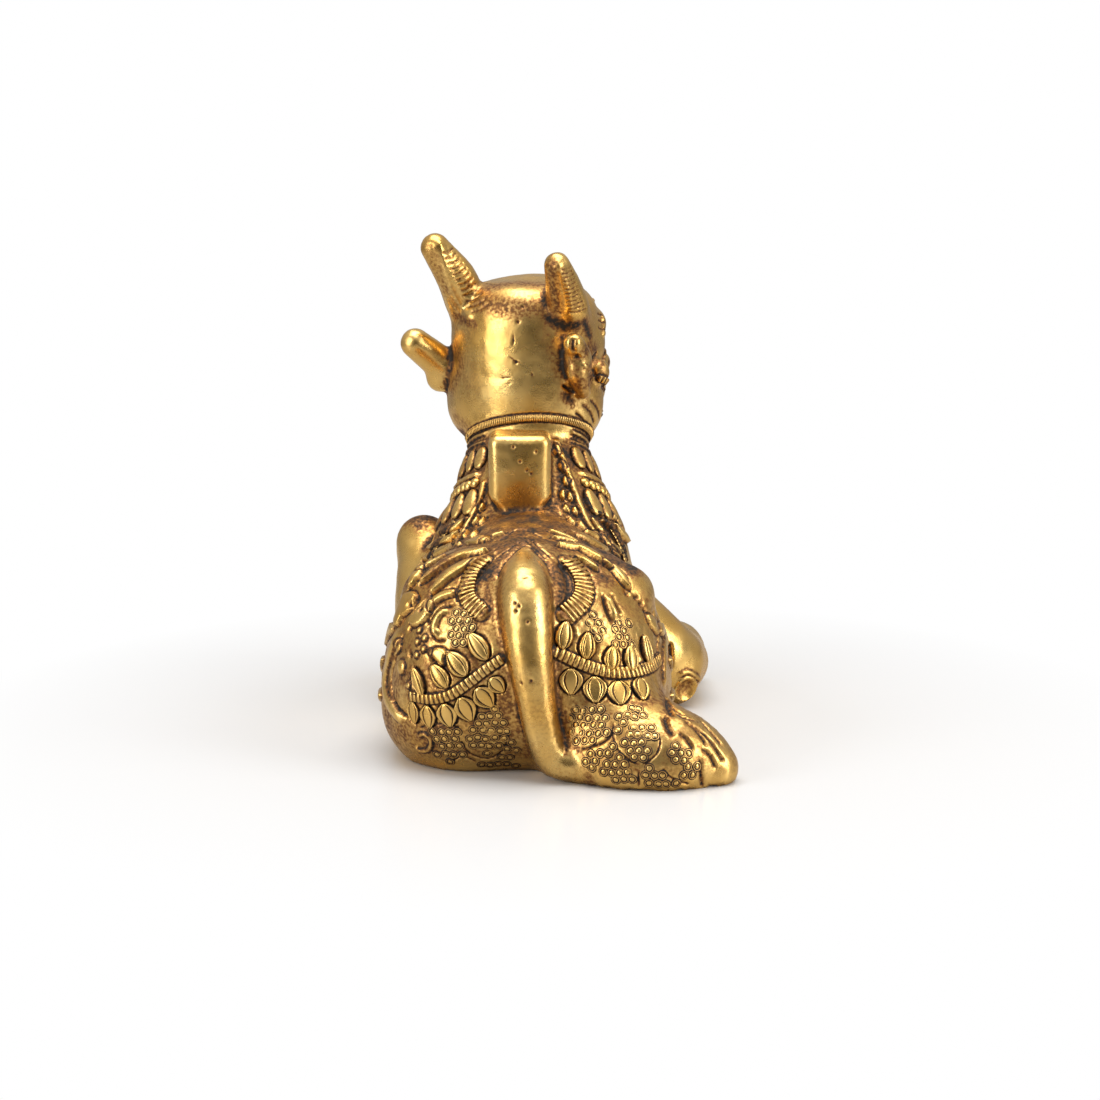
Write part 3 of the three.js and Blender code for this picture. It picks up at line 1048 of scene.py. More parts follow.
def to_frame(points):
    """From millimetres about the spine to metres in the frame."""
    return (np.asarray(points, float) + SPINE) / METRE


def finish_piece(piece):
    """A finished piece of the one casting: it rides on the root."""
    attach(piece, "root")
    return piece


# What is chased on the casting; places seen from behind are photograph pixels

TAIL_ROOT = ((497, 580), (500, 570), (509, 558), (525, 545), (539, 555), (548, 566), (552, 578))
CHEVRONS = (
    ((488, 556), (504, 546), (523, 536), (540, 548), (554, 560)),
    ((484, 549), (501, 539), (520, 529), (543, 538), (560, 551)),
    ((492, 561), (507, 551), (524, 540.5), (538, 551), (548, 560)),
)
# Leaves of the back and straps of the shoulders as (marks, half width, height)
BACK_LEAVES = (
    (((490, 541), (474, 542), (455, 552)), 1.9, 0.9),
    (((489, 551), (464, 555), (443, 565), (421, 584)), 1.6, 1.0),
    (((482, 560), (461, 568), (445, 579), (432, 595)), 1.6, 1.0),
    (((484, 570), (472, 577), (462, 590), (458, 600)), 1.1, 0.7),
    (((437, 552), (422, 566), (410, 588)), 1.5, 0.9),
    (((556, 546), (580, 549), (597, 558), (611, 569)), 1.4, 1.1),
    (((566, 532), (590, 541), (612, 555), (636, 575)), 1.3, 0.9),
    (((548, 531), (562, 535), (578, 543)), 1.0, 0.6),
    (((570, 557), (584, 560), (598, 571)), 1.0, 0.8),
    (((584, 532), (604, 541), (624, 556)), 1.3, 0.9),
    (((551, 538), (566, 540), (584, 548)), 0.9, 0.7),
    (((505, 533), (493, 536), (480, 544)), 0.9, 0.6),
    (((560, 566), (572, 566), (588, 575)), 0.8, 0.7),
    (((602, 562), (617, 572), (630, 590)), 1.2, 0.9),
)
SHOULDER_STRAPS = (
    (((470, 519), (455, 528), (439, 535)), 1.3, 1.1),
    (((464, 531), (448, 540), (428, 550)), 1.3, 1.1),
    (((456, 545), (440, 552), (423, 560)), 1.2, 1.0),
    (((448, 556), (432, 563), (417, 572)), 1.1, 0.8),
    (((600, 520), (612, 531), (621, 548), (627, 566)), 1.2, 1.1),
    (((611, 524), (624, 538), (632, 556)), 1.1, 1.1),
    (((589, 518), (600, 533), (610, 552)), 1.1, 1.0),
    (((596, 503), (608, 513), (619, 522)), 1.4, 1.1),
    (((585, 497), (592, 508), (602, 517)), 1.3, 1.1),
)
PANEL_EDGES = (
    ((554, 437), (567, 472), (580, 507), (591, 529), (612, 551), (633, 572)),
    ((486, 478), (481, 497), (470, 521), (459, 541), (444, 560)),
)
PANEL_BITS = (
    ((556, 446), (557, 456)), ((560, 461), (563, 472)), ((564, 477), (567, 487)), ((568, 492), (572, 502)),
    ((562, 490), (563, 500)), ((573, 507), (577, 516)), ((564, 505), (569, 513)), ((578, 521), (584, 530)),
    ((568, 518), (574, 525)), ((484, 503), (480, 512)), ((479, 517), (473, 526)), ((486, 517), (480, 525)),
    ((470, 530), (464, 538)), ((478, 531), (470, 539)), ((462, 543), (455, 550)),
)
LEFT_FAN = ((484, 561), (473, 572), (468, 586), (469, 600), (481, 612))
RIGHT_FAN = ((569, 562), (580, 575), (584, 590), (580, 602), (567, 614))
LEFT_FAN_DOTS = ((475, 568), (470, 574), (466, 581), (463, 588), (462, 595), (463.5, 602), (467, 607))
RIGHT_FAN_DOTS = ((581, 564), (588, 572), (592, 579), (595, 587), (594, 595), (590, 603), (584, 609),
                  (578, 614))
RIGHT_FAN_HOLLOW = ((557, 560), (564, 570), (568, 582), (567, 598), (556, 613))
LEFT_GARLAND = ((412, 696), (431, 699), (450, 695), (467, 684), (484, 671), (500, 660))
RIGHT_GARLAND = ((556, 652), (573, 660), (590, 667), (604, 671), (620, 673), (637, 671), (651, 666),
                 (659, 659))

# Room for the dark bed round a petal, and the petals as (root, tip, width in millimetres)
PETAL_ROOM = 0.42
FLAT_ROOM = 0.12
DOMED_PETALS = (
    ((488, 660), (469, 633), 4.2),
    ((467, 676), (448, 652), 4.6),
    ((448, 688), (432, 664), 4.0),
    ((424, 696), (414, 667), 3.2),
    ((562, 650), (566, 621), 4.0),
    ((586, 660), (588, 632), 3.9),
    ((611, 671), (613, 646), 4.0),
    ((632, 672), (630, 645), 4.0),
    ((650, 666), (643, 635), 3.6),
)
FLAT_PETALS = (
    ((412, 701), (415, 724), 3.6),
    ((427, 705), (430, 728), 4.0),
    ((444, 703), (451, 727), 4.6),
    ((460, 697), (472, 721), 4.6),
    ((476, 688), (493, 707), 4.6),
    ((490, 678), (504, 692), 3.6),
    ((571, 668), (571, 695), 4.9),
    ((594, 676), (596, 703), 4.9),
    ((618, 680), (621, 705), 4.9),
    ((640, 677), (643, 700), 4.2),
)
COMMAS = (
    ((451, 609), (441, 613), (436, 621), (434, 630), (440, 637)),
    ((607, 594), (611, 607), (618, 621)),
)
COMMA_OUTLINES = (
    ((455, 605), (441, 609), (432, 619), (430, 630), (436, 640), (447, 640)),
    ((602, 592), (606, 608), (614, 626)),
    ((611, 592), (615, 604), (622, 617)),
)
BOSSES = ((399, 646), (402, 667))
SCALES = ((420, 630), (425, 638), (418, 642), (424, 649), (431, 652), (417, 655), (412, 676), (409, 685))
LOBES = (
    (((397, 626), (403, 608), (418, 597)), 2.8, 0.9),
    (((410, 622), (422, 614), (431, 600)), 2.0, 0.7),
    (((430, 611), (434, 601), (446, 594), (460, 592)), 1.0, 0.6),
    (((430, 655), (440, 655), (447, 665)), 1.5, 0.8),
    (((646, 616), (653, 624), (658, 634)), 1.6, 0.6),
)
HOLLOWS = ((412, 606), (422, 610), (418, 600), (410, 629), (428, 622), (433, 660), (410, 655),
           (636, 597), (641, 604), (645, 611), (627, 593), (654, 614))
OUTER_STRIPS = (
    ((400, 628), (391, 655), (386, 683), (390, 704), (406, 723)),
    ((663, 612), (664, 640), (663, 668), (664, 692), (666, 712)),
)
STRIP_LINES = (
    ((404, 632), (395, 658), (391, 684), (396, 705), (409, 719)),
    ((658, 616), (658, 640), (657, 660)),
    ((670, 640), (671, 668), (669, 700)),
    ((664, 690), (672, 706), (686, 716)),
)
CURL = ((417, 737), (424, 734), (431, 740), (429, 749), (420, 750), (415, 744))
LEAF_ARCS = (
    ((460, 740), (469, 753), (488, 759), (504, 749), (510, 729)),
    ((614, 721), (611, 735), (600, 744), (578, 750)),
    ((612, 729), (615, 745), (625, 757), (640, 766)),
    ((661, 736), (658, 751), (650, 760), (640, 766)),
    ((614, 747), (601, 754), (592, 762), (587, 771)),
    ((638, 769), (639, 788)),
    ((661, 766), (668, 775), (680, 782), (691, 784)),
    ((418, 728), (440, 724), (462, 728)),
    ((447, 765), (462, 757), (478, 763)),
)

# What the photograph doesn't show: the face in (left, up) or (forward, up) of the head's frame
UPPER_LID = ((8.0, -2), (10, 0.9), (12.6, 1.7), (15, 0.6), (16.6, -2))
LOWER_LID = ((8.0, -2), (10.2, -4.2), (12.8, -4.9), (15, -4.2), (16.6, -2))
PUPIL = ((12, -1.6),)
MOUTH_SIDE = ((15, -13.2), (20, -14.8), (25, -14.6))
MOUTH_FRONT = ((-5.5, -13.8), (2.4, -15), (10, -13.8))
NOSTRILS = (
    ((-2.6, -8.6), (-4.2, -7.2), (-5.6, -8.4), (-5.2, -9.8)),
    ((7.4, -8.6), (9, -7.2), (10.4, -8.4), (10, -9.8)),
)
FOREHEAD_DROP = ((0, 15), (0, 9.5), (0, 3.5))
FOREHEAD_SWAG = ((-11, 12.5), (-6, 8.5), (-2.6, 7), (2.6, 7), (6, 8.5), (11, 12.5))
CHEEK_STRAP = ((13, -8.5), (7, -6.5), (1, -4))
HALTER_SHARE = 0.5

# The chest in (x, z), the flanks in (y, z), the feet in (x, z) or (y, z)
DEWLAP = (((-4, 35), (-4.6, 25), (-3, 15)), ((0, 38), (0.4, 26), (0, 13)), ((4, 35), (4.6, 25), (3, 15)))
CHEST_BELL = ((0, 43.5),)
CLOTH_EDGE = ((-12, 43), (-11, 34), (-6, 27), (1, 23), (9, 23.5), (15, 28))
CLOTH_FIELD = ((-10, 42), (-9, 35), (-4, 29.5), (2, 26), (8, 26.5), (12, 30), (9, 37), (0, 41))
CLOTH_RING_SPACING = 2.5
CLOTH_PETAL_STEP = 6
CLOTH_PETAL_ROOT = 1.2
CLOTH_PETAL_TIP = 5.4
HAUNCH_LEAVES = (
    ((14, 12), (18, 17), (25, 20)), ((14, 7), (20, 11), (28, 13)), ((20, 22), (25, 26), (32, 28)),
)
LEFT_FORE_CLEFT = ((25.4, 8.5), (25.4, 1.2))
LEFT_FETLOCK_BAND = ((20.8, 12), (25.3, 11), (29.8, 12))
RIGHT_KNEE_BAND = ((-40, 12.5), (-34, 15.4), (-28, 12.5))
LEFT_HIND_CLEFT = ((-10.6, 4), (-6, 5), (-1, 5.6))

# Fields of ring punches, as outlines in pixels
RING_FIELDS = (
    ((448, 617), (459, 609), (473, 614), (475, 632), (464, 648), (453, 650), (447, 640)),
    ((470, 721), (484, 710), (497, 704), (509, 718), (508, 736), (502, 748), (487, 755), (474, 751),
     (469, 738)),
    ((424, 727), (436, 729), (462, 728), (467, 745), (466, 757), (450, 766), (432, 757), (434, 744)),
    ((468, 762), (484, 765), (500, 757), (511, 738), (517, 746), (521, 772), (490, 772)),
    ((585, 617), (594, 611), (603, 621), (606, 637), (596, 641), (586, 634)),
    ((611, 641), (616, 628), (622, 618), (635, 622), (638, 634), (633, 645), (613, 646)),
    ((567, 716), (575, 706), (606, 706), (611, 722), (606, 737), (592, 744), (571, 740)),
    ((616, 712), (636, 704), (650, 708), (645, 716), (630, 720), (620, 735), (614, 729)),
    ((622, 728), (632, 718), (646, 716), (656, 726), (658, 746), (648, 758), (635, 759), (621, 748)),
    ((578, 766), (584, 754), (602, 748), (616, 742), (618, 751), (602, 758), (590, 770)),
    ((594, 768), (602, 758), (616, 753), (633, 768), (636, 787), (612, 784)),
    ((641, 772), (652, 764), (662, 772), (676, 783), (690, 788), (668, 791), (643, 788)),
    ((667, 750), (672, 741), (688, 746), (700, 760), (697, 779), (684, 778), (672, 768)),
    ((437, 654), (446, 650), (452, 660), (444, 668)),
)
RING_SPACING = 8.6
RING_JITTER = 1.1
RING_JITTER_SEED = 7

HOOF_LINES = (
    ((674, 712), (684, 717), (697, 721)),
    ((699, 719), (711, 732), (724, 748)),
    ((691, 724), (708, 738), (725, 763)),
    ((677, 731), (688, 740), (694, 752)),
    ((701, 747), (711, 757), (716, 770)),
    ((700, 757), (701, 770), (702, 787)),
    ((684, 719), (698, 732), (708, 748)),
)
LEG_FOLDS = (
    ((668, 694), (668, 705), (673, 717)),
    ((664, 714), (668, 728), (675, 738)),
)
SOLE = (687, 690)
SOLE_RIM = ((677, 676), (688, 672), (699, 680), (700, 694))

# Head: brown films as (marks, half width, darkness): stains at the roots of the horns and ears, darker bands
# across the crown and dark lines in the creases; scratches and folds
HEAD_FILMS = (
    (((482, 302), (512, 308), (546, 305)), 3.4, 0.5),
    (((486, 288), (512, 283), (542, 285)), 3.4, 0.48),
    (((430, 247), (440, 277), (456, 308)), 2.2, 0.32),
    (((551, 262), (553, 285), (558, 312)), 2.0, 0.5),
    (((455, 316), (474, 325)), 1.4, 0.55),
    (((451, 345), (452, 358), (449, 374)), 1.0, 0.9),
    (((456, 348), (461, 366), (452, 388)), 2.4, 0.4),
    (((548, 318), (561, 325), (576, 326)), 1.6, 0.95),
    (((584, 322), (590, 336)), 1.3, 0.95),
    (((546, 330), (552, 350), (560, 374)), 2.6, 0.32),
    (((563, 338), (563.5, 352), (566, 366)), 0.9, 0.85),
    (((570, 360), (577, 374), (583, 388)), 2.0, 0.42),
    (((602, 362), (602, 372), (600, 381)), 1.0, 0.5),
    (((565, 396), (572, 403)), 1.3, 0.8),
    (((456, 418), (468, 428)), 2.0, 0.3),
)
SCRATCHES = (
    ((513, 333), (513.5, 347)),
    ((508, 356), (516, 361), (523, 364)),
    ((499, 378), (513, 377)),
    ((506, 385), (512, 382)),
    ((531, 370), (533, 379)),
    ((480, 282), (495, 284.5), (510, 283)),
)
HEAD_PITS = ((523, 307), (469, 286), (516, 362), (518, 322))
CHEEK_FOLDS = (
    ((581, 403), (590, 412), (595, 424)),
    ((588, 397), (597, 408), (600, 420)),
    ((574, 411), (583, 420), (588, 431)),
)
BROW_EDGE = ((589, 290), (599, 302), (603, 322), (603, 340))
BROW_NOTCHES = (((597, 313), (603, 316)), ((598, 320), (604, 323)), ((598, 327), (604, 330)))
EAR_CUP = ((586, 350), (590, 347), (595, 350), (592, 358))
EAR_HOLE = ((577, 358),)
EAR_LINES = (
    ((573.5, 338), (572.5, 346), (573.5, 353)),
    ((598, 352), (594, 357), (590, 363)),
    ((592, 367), (594, 372), (595, 378)),
    ((562, 384), (568, 389), (577, 395)),
)
EAR_RIM = ((581, 364), (588, 368), (591, 376), (590, 388))
HORNS = (((475, 320), (436, 243), 21, 13), ((570, 318), (558, 261), 19, 11))
HORN_CREASES = (
    ((438, 238), (443, 258), (452, 287), (462, 306), (473, 322)),
    ((556, 258), (560, 270), (567, 286), (572, 314)),
)
HORN_RINGS = np.linspace(0.1, 0.86, 12)
TAIL_PITS = ((515, 603), (519, 606), (516, 611), (528, 622), (521, 683), (531, 681))
TAIL_CRACK = ((519, 579), (531, 578))
HUMP_PITS = ((527, 471), (531, 474), (513, 447), (536, 452), (520, 462))
# Films as (marks, half width, darkness): brown crust on the back and haunches, and painted shade along both
# edges of the tail and in the creases beside it
CRUST_AND_EDGE_SHADE = (
    (((563, 530), (580, 540), (600, 552)), 3.0, 0.45),
    (((556, 568), (561, 585), (560, 603)), 1.8, 0.75),
    (((488, 570), (487, 590), (490, 610)), 1.3, 0.6),
    (((500, 572), (502, 620), (507, 680), (514, 740)), 1.8, 0.34),
    (((546, 575), (549, 630), (552, 690)), 1.3, 0.36),
    (((470, 545), (450, 558), (436, 576)), 3.0, 0.5),
    (((500, 640), (503, 690), (508, 735)), 2.0, 0.45),
    (((558, 640), (557, 690), (562, 730)), 1.6, 0.6),
    (((662, 690), (666, 710), (668, 735)), 1.6, 0.5),
    (((610, 700), (640, 704), (655, 700)), 1.4, 0.45),
    (((656, 620), (660, 650), (660, 680)), 2.0, 0.35),
)

NECK_RIDGES = ((0.835, 0.6, 0.5), (0.765, 0.5, 0.4), (0.475, 0.9, 0.7))
COLLAR_SHARE = 0.90
BACK_GAP = 40
FRONT_GAP = 172
NECK_SEED = 5
NECK_TURN = 15.0
NECK_WANDER = 1.5
NECK_LEAN = 2
NECK_BREADTHS = (0.86, 1.1)
PENDANT_SHARES = (0.72, 0.53)
BEAD_SHARES = (0.405, 0.40)
BELL_SHARES = (0.35, 0.13)


def inside_outline(place, outline):
    """Whether a place lies in a closed outline, by crossings."""
    inside = False
    for (x0, y0), (x1, y1) in zip(outline, outline[1:] + outline[:1]):
        if (y0 > place[1]) != (y1 > place[1]) and place[0] < x0 + (place[1] - y0) / (y1 - y0) * (x1 - x0):
            inside = not inside
    return inside


def scattered(outlines, spacing, jitter, seed):
    """Places that crowd the outlines in staggered rows, each a little out of line."""
    chance = np.random.default_rng(seed)
    kept = []
    for outline in outlines:
        low, high = np.min(outline, axis=0), np.max(outline, axis=0)
        rows = np.arange(low[1] + spacing / 2, high[1], spacing * math.sqrt(0.75))
        for k, y in enumerate(rows):
            for x in np.arange(low[0] + spacing * (k % 2) / 2, high[0], spacing):
                place = np.array([x, y]) + chance.uniform(-jitter, jitter, 2)
                near = kept and np.min(np.linalg.norm(np.array(kept) - place, axis=1)) < spacing * 0.8
                if inside_outline(place, outline) and not near:
                    kept.append(tuple(place))
    return kept


# A direction that nothing chased faces, and how far a long shape rises to the skin at its middle
ASKEW = (0.31, 0.17, 0.94)
RISE_SHARE = 0.8


class Chasing(Relief):
    """The relief with the shapes that nodes lay on it, each as places with their directions."""

    def __init__(self, skin):
        super().__init__(skin)
        self.laid = {}
        self.ribbed = {}

    def lay(self, group, view, marks, size):
        """Shapes of one size at marks, turned any way."""
        places, normals = self.skin.stop(view(np.array(marks, float)))
        places = settle(places)
        places += normals * grain(places)[:, None]
        rows = self.laid.setdefault(group, [])
        for place, normal in zip(places, normals):
            if hump_form(place[None])[0] < HUMP_CLEARANCE:
                continue
            along = np.cross(normal, ASKEW)
            rows.append((place, normal, along, size))

    def lay_from(self, group, view, root, tip, width, height, room=PETAL_ROOM):
        """A shape that reaches from its root to its tip, in a dark bed with some room round it."""
        places, normals = self.skin.stop(view(np.array([root, tip], float)))
        if len(places) < 2:
            raise ValueError(f"a shape of {group} misses the casting")
        if hump_form(places).min() < HUMP_CLEARANCE:
            return
        along = places[1] - places[0]
        facing = normals.mean(axis=0)
        facing -= along * (facing @ along) / (along @ along)
        middle = places.mean(axis=0)
        on_skin = settle(middle[None])[0] + facing * grain(middle[None])[0]
        size = (np.linalg.norm(along), width, height)
        rise = facing * ((on_skin - middle) @ facing) / (facing @ facing)
        self.laid.setdefault(group, []).append((places[0] + RISE_SHARE * rise, facing, along, size))
        self.lines.append((places, normals, bed(width / 2 + room, 0.3), width / 2 + room + 0.15, PETAL_EDGE))

    def rib(self, group, line, width, thickness, height, lift):
        """Bars across a line of the casting, lifted onto what is raised there."""
        places, normals = line
        size = (thickness, width, height)
        self.ribbed.setdefault(group, []).append((places + normals * lift, normals, size))


# Brown films along lines: staining, and painted shade where they darken edges and creases
def stain_and_shade_lines(work, stains, edge):
    for marks, width, darkness in stains:
        work.line(seen, marks, film(width, darkness), 2 * width, edge)


def chase_back(work):
    work.line(seen, TAIL_ROOT, cut(0.28, 0.35), 1.0)
    work.lines_of(seen, CHEVRONS, cut(0.26, 0.3), 0.9)
    for marks, width, height in BACK_LEAVES + SHOULDER_STRAPS:
        work.line(seen, marks, leaf(width, height), width + 0.9)
    work.lines_of(seen, PANEL_EDGES, ridge(0.9, 0.9, 1.0), 2.0, 0.35)
    work.lines_of(seen, PANEL_BITS, leaf(0.75, 0.7), 1.5, 0.35)
    # Brown crust, and painted shade along the tail's edges and in the creases beside it
    stain_and_shade_lines(work, CRUST_AND_EDGE_SHADE, HAUNCH_EDGE)
    work.spot(seen, TAIL_PITS + HUMP_PITS, pit(0.35, 0.3), 1.0)
    work.line(seen, TAIL_CRACK, cut(0.15, 0.1), 0.6)


def chase_fans(work):
    for marks, dots, width in ((LEFT_FAN, LEFT_FAN_DOTS, 1.9), (RIGHT_FAN, RIGHT_FAN_DOTS, 2.3)):
        line = work.line(seen, marks, strap(width, 0.5, 0.8, 0.5), width + 1.0, 0.35)
        work.rib("fan_ribs", line, 2 * width - 0.1, 0.8, 0.42, 0.36)
        work.spot(seen, dots, pit(0.35, 0.35), 0.9)
    work.line(seen, RIGHT_FAN_HOLLOW, cut(0.8, 0.5), 2.0, 0.4)


def chase_garlands(work):
    for marks, half in ((LEFT_GARLAND, 1.1), (RIGHT_GARLAND, 1.3)):
        line = work.line(seen, marks, strap(half, 0.35, 0.3, 0.75), half + 0.9)
        work.rib("garland_ribs", line, 2 * half - 0.1, 1.1, 0.22, 0.3)
    for root, tip, width in DOMED_PETALS:
        work.lay_from("domed_petals", seen, root, tip, width, 0.95)
    for root, tip, width in FLAT_PETALS:
        work.lay_from("flat_petals", seen, root, tip, 1.15 * width, 0.38, FLAT_ROOM)


def chase_haunches(work):
    work.lines_of(seen, COMMAS, ridge(0.95, 0.75, 0.4), 2.0)
    work.lines_of(seen, COMMA_OUTLINES, cut(0.42, 0.6), 1.2)
    for marks, width, height in LOBES:
        work.line(seen, marks, leaf(width, height, 0.35), width + 0.9, 0.35)
    work.spot(seen, BOSSES, dome(1.7, 0.8, 1.0), 2.6, 0.35)
    work.spot(seen, SCALES, dome(0.85, 0.5, 1.0), 1.6, 0.35)
    work.spot(seen, HOLLOWS, pit(0.65, 0.8), 1.8, 0.35)
    work.lines_of(seen, OUTER_STRIPS, ridge(1.5, 0.8, 0.8), 2.6, 0.4)
    work.lines_of(seen, STRIP_LINES, cut(0.45, 0.7), 1.4, 0.3)
    work.line(seen, CURL, ridge(0.6, 0.5, 1.0), 1.6)
    work.lines_of(seen, LEAF_ARCS, cut(0.24, 0.32), 0.9)
    rings = scattered(RING_FIELDS, RING_SPACING, RING_JITTER, RING_JITTER_SEED)
    work.lay("ring_punches", seen, rings, (1.0, 1.0, 1.0))


def chase_hooves(work):
    work.lines_of(seen, HOOF_LINES, cut(0.35, 0.5), 1.2, 0.4)
    work.lines_of(seen, LEG_FOLDS, cut(0.6, 0.8), 1.8, 0.4)
    work.spot(seen, (SOLE,), bowl(2.7, 1.4, 0.4), 3.6, 0.4)
    work.line(seen, SOLE_RIM, ridge(0.6, 0.5, 0.5), 1.4, 0.4)


def chase_head(work):
    stain_and_shade_lines(work, HEAD_FILMS, HEAD_EDGE)
    work.lines_of(seen, SCRATCHES, cut(0.18, 0.12), 0.7)
    work.lines_of(seen, CHEEK_FOLDS, cut(0.35, 0.35), 1.2, 0.4)
    work.spot(seen, HEAD_PITS, pit(0.4, 0.3), 1.0)
    work.line(seen, BROW_EDGE, ridge(0.8, 0.5, 0.5), 1.8, 0.4)
    work.lines_of(seen, BROW_NOTCHES, cut(0.3, 0.3, 0.8, 0.4), 1.0, 0.35)
    # The right ear's cup is a flat brown spot: painted shade where the hollow of the cup lies
    work.spot(seen, EAR_CUP, stain_and_shade(2.0, 0.65), 4.0, HEAD_EDGE)
    work.spot(seen, EAR_HOLE, pit(0.8, 0.8), 2.0, 0.35)
    work.lines_of(seen, EAR_LINES, cut(0.45, 0.6, 1.0, 0.6), 1.4, 0.35)
    work.line(seen, EAR_RIM, ridge(0.5, 0.4, 0.4), 1.4, 0.35)


def chase_horns(work):
    work.lines_of(seen, HORN_CREASES, crease(1.7, 0.6), 2.0, 0.35)
    for base, tip, base_half, tip_half in HORNS:
        base, tip = np.array(base, float), np.array(tip, float)
        along = (tip - base) / np.linalg.norm(tip - base)
        across = np.array([-along[1], along[0]])
        for share in HORN_RINGS:
            middle = base + (tip - base) * share
            half = base_half + (tip_half - base_half) * share
            marks = (middle, middle + across * half * 0.5 - along * 1.5, middle + across * half)
            work.line(seen, marks, cut(0.3, 0.22, 0.55, 0.3), 0.9, 0.35)


def turn_marks(share, first, last, step=6):
    """Marks round a limb at a share of its length, a few degrees apart."""
    return [(share, angle) for angle in np.arange(first, last + 1, step)]


def chase_face(work):
    for side in (1, -1):
        view = beside_head(side)
        work.line(view, UPPER_LID, ridge(0.6, 0.5, 0.9), 1.5, 0.4)
        work.line(view, LOWER_LID, ridge(0.5, 0.35, 0.9), 1.4, 0.4)
        work.spot(view, PUPIL, pit(0.7, 0.3), 1.6, 0.35)
        work.line(view, MOUTH_SIDE, cut(0.4, 0.6), 1.3, 0.4)
        strap_line = work.line(view, CHEEK_STRAP, strap(0.9, 0.4, 0.3, 0.7), 1.8, 0.4)
        work.rib("strap_ribs", strap_line, 1.6, 0.8, 0.25, 0.4)
    work.line(before_face, MOUTH_FRONT, cut(0.4, 0.6), 1.3, 0.4)
    work.lines_of(before_face, NOSTRILS, cut(0.6, 0.9), 1.8, 0.4)
    work.line(before_face, FOREHEAD_DROP, leaf(2.4, 0.9), 3.4, 0.4)
    swag = curve_through(FOREHEAD_SWAG, 3)
    work.lay("neck_beads", before_face, swag, (1.1, 1.1, 1.0))
    marks = turn_marks(HALTER_SHARE, -180, 180, 8)
    halter = work.line(round_muzzle, marks, strap(1.0, 0.45, 0.3, 0.7), 2.0, 0.45)
    work.rib("strap_ribs", halter, 1.8, 0.8, 0.25, 0.45)


def chase_chest(work):
    work.lines_of(ahead, DEWLAP, cut(0.5, 0.5, 0.8), 1.6, 0.5)
    work.spot(ahead, CHEST_BELL, dome(3.0, 1.8, 1.0), 4.0, 0.45)
    work.spot(ahead, CHEST_BELL, pit(0.6, 0.5), 1.4, 0.4)


def chase_flanks(work):
    for side in (1, -1):
        view = beside(side)
        edge = work.line(view, CLOTH_EDGE, strap(1.2, 0.4, 0.3, 0.8), 2.1, 0.45)
        work.rib("strap_ribs", edge, 2.1, 1.0, 0.25, 0.4)
        for place in curve_through(CLOTH_EDGE)[CLOTH_PETAL_STEP::CLOTH_PETAL_STEP]:
            root, tip = place - (0, CLOTH_PETAL_ROOT), place - (0, CLOTH_PETAL_TIP)
            work.lay_from("flat_petals", view, root, tip, 3.6, 0.35, FLAT_ROOM)
        rings = scattered((CLOTH_FIELD,), CLOTH_RING_SPACING, 0.3, RING_JITTER_SEED)
        work.lay("ring_punches", view, rings, (1.1, 1.1, 1.0))
        work.lines_of(view, HAUNCH_LEAVES, leaf(1.8, 0.7), 2.6, 0.45)


def chase_feet(work):
    work.line(ahead, LEFT_FORE_CLEFT, cut(0.5, 0.8), 1.5, 0.45)
    work.line(ahead, LEFT_FETLOCK_BAND, ridge(0.8, 0.5, 0.9), 1.8, 0.45)
    work.line(ahead, RIGHT_KNEE_BAND, ridge(0.8, 0.5, 0.9), 1.8, 0.45)
    work.line(beside(1), LEFT_HIND_CLEFT, cut(0.5, 0.8), 1.5, 0.45)


def chase_neck(work):
    marks = turn_marks(COLLAR_SHARE, -FRONT_GAP, FRONT_GAP)
    line = work.line(round_neck, marks, strap(0.9, 0.45, 0.3, 0.7), 2.0)
    work.rib("collar_ribs", line, 1.6, 0.5, 0.2, 0.42)
    for share, width, height in NECK_RIDGES:
        for side in (1, -1):
            first, last = sorted((side * BACK_GAP, side * FRONT_GAP))
            work.line(round_neck, turn_marks(share, first, last), ridge(width, height, 1.0), 2.2, 0.35)
    chance = np.random.default_rng(NECK_SEED)
    for side in (1, -1):
        for angle in np.arange(BACK_GAP + 4, FRONT_GAP, NECK_TURN):
            turn = side * (angle + chance.uniform(-NECK_WANDER, NECK_WANDER))
            broad = chance.uniform(*NECK_BREADTHS)
            lean = chance.uniform(-NECK_LEAN, NECK_LEAN)
            pendant = (PENDANT_SHARES[0], turn), (PENDANT_SHARES[1], turn + lean)
            beads = (BEAD_SHARES[0], turn), (BEAD_SHARES[1], turn + side * NECK_TURN / 2)
            bell = (BELL_SHARES[0], turn), (BELL_SHARES[1], turn + 2 * lean)
            work.lay_from("neck_pendants", round_neck, *pendant, 3.5 * broad, 0.8)
            if on_neck(work, bell):
                work.lay_from("neck_bells", round_neck, *bell, 4.3 * broad, 1.1)
            if on_neck(work, beads):
                work.lay("neck_beads", round_neck, beads, (1.9, 1.9, 1.1))


def on_neck(work, marks):
    """Whether rays round the neck stop on the neck and not on a knee beside it."""
    marks = np.array(marks, float)
    places, _ = work.skin.stop(round_neck(marks))
    middles = NECK_FOOT + marks[:, :1] * (NECK_TOP - NECK_FOOT)
    if len(places) < len(marks) or np.linalg.norm(places - middles, axis=1).max() > NECK_REACH:
        return False
    return np.linalg.norm(places - np.array(LEFT_KNEE), axis=1).min() > KNEE_REACH


@functools.cache
def smooth_skin():
    """The smooth casting as coarse triangles, and the skin that rays stop on."""
    low = np.array(CAD_LOW) * METRE - SPINE - GRID_MARGIN
    high = np.array(CAD_HIGH) * METRE - SPINE + GRID_MARGIN
    points, quads = surface_net(sample_grid(low, high, GRID_STEP), low, GRID_STEP)
    points = settle(points)
    triangles = halve_quads(points, quads)
    return points, triangles, Skin(points, triangles)


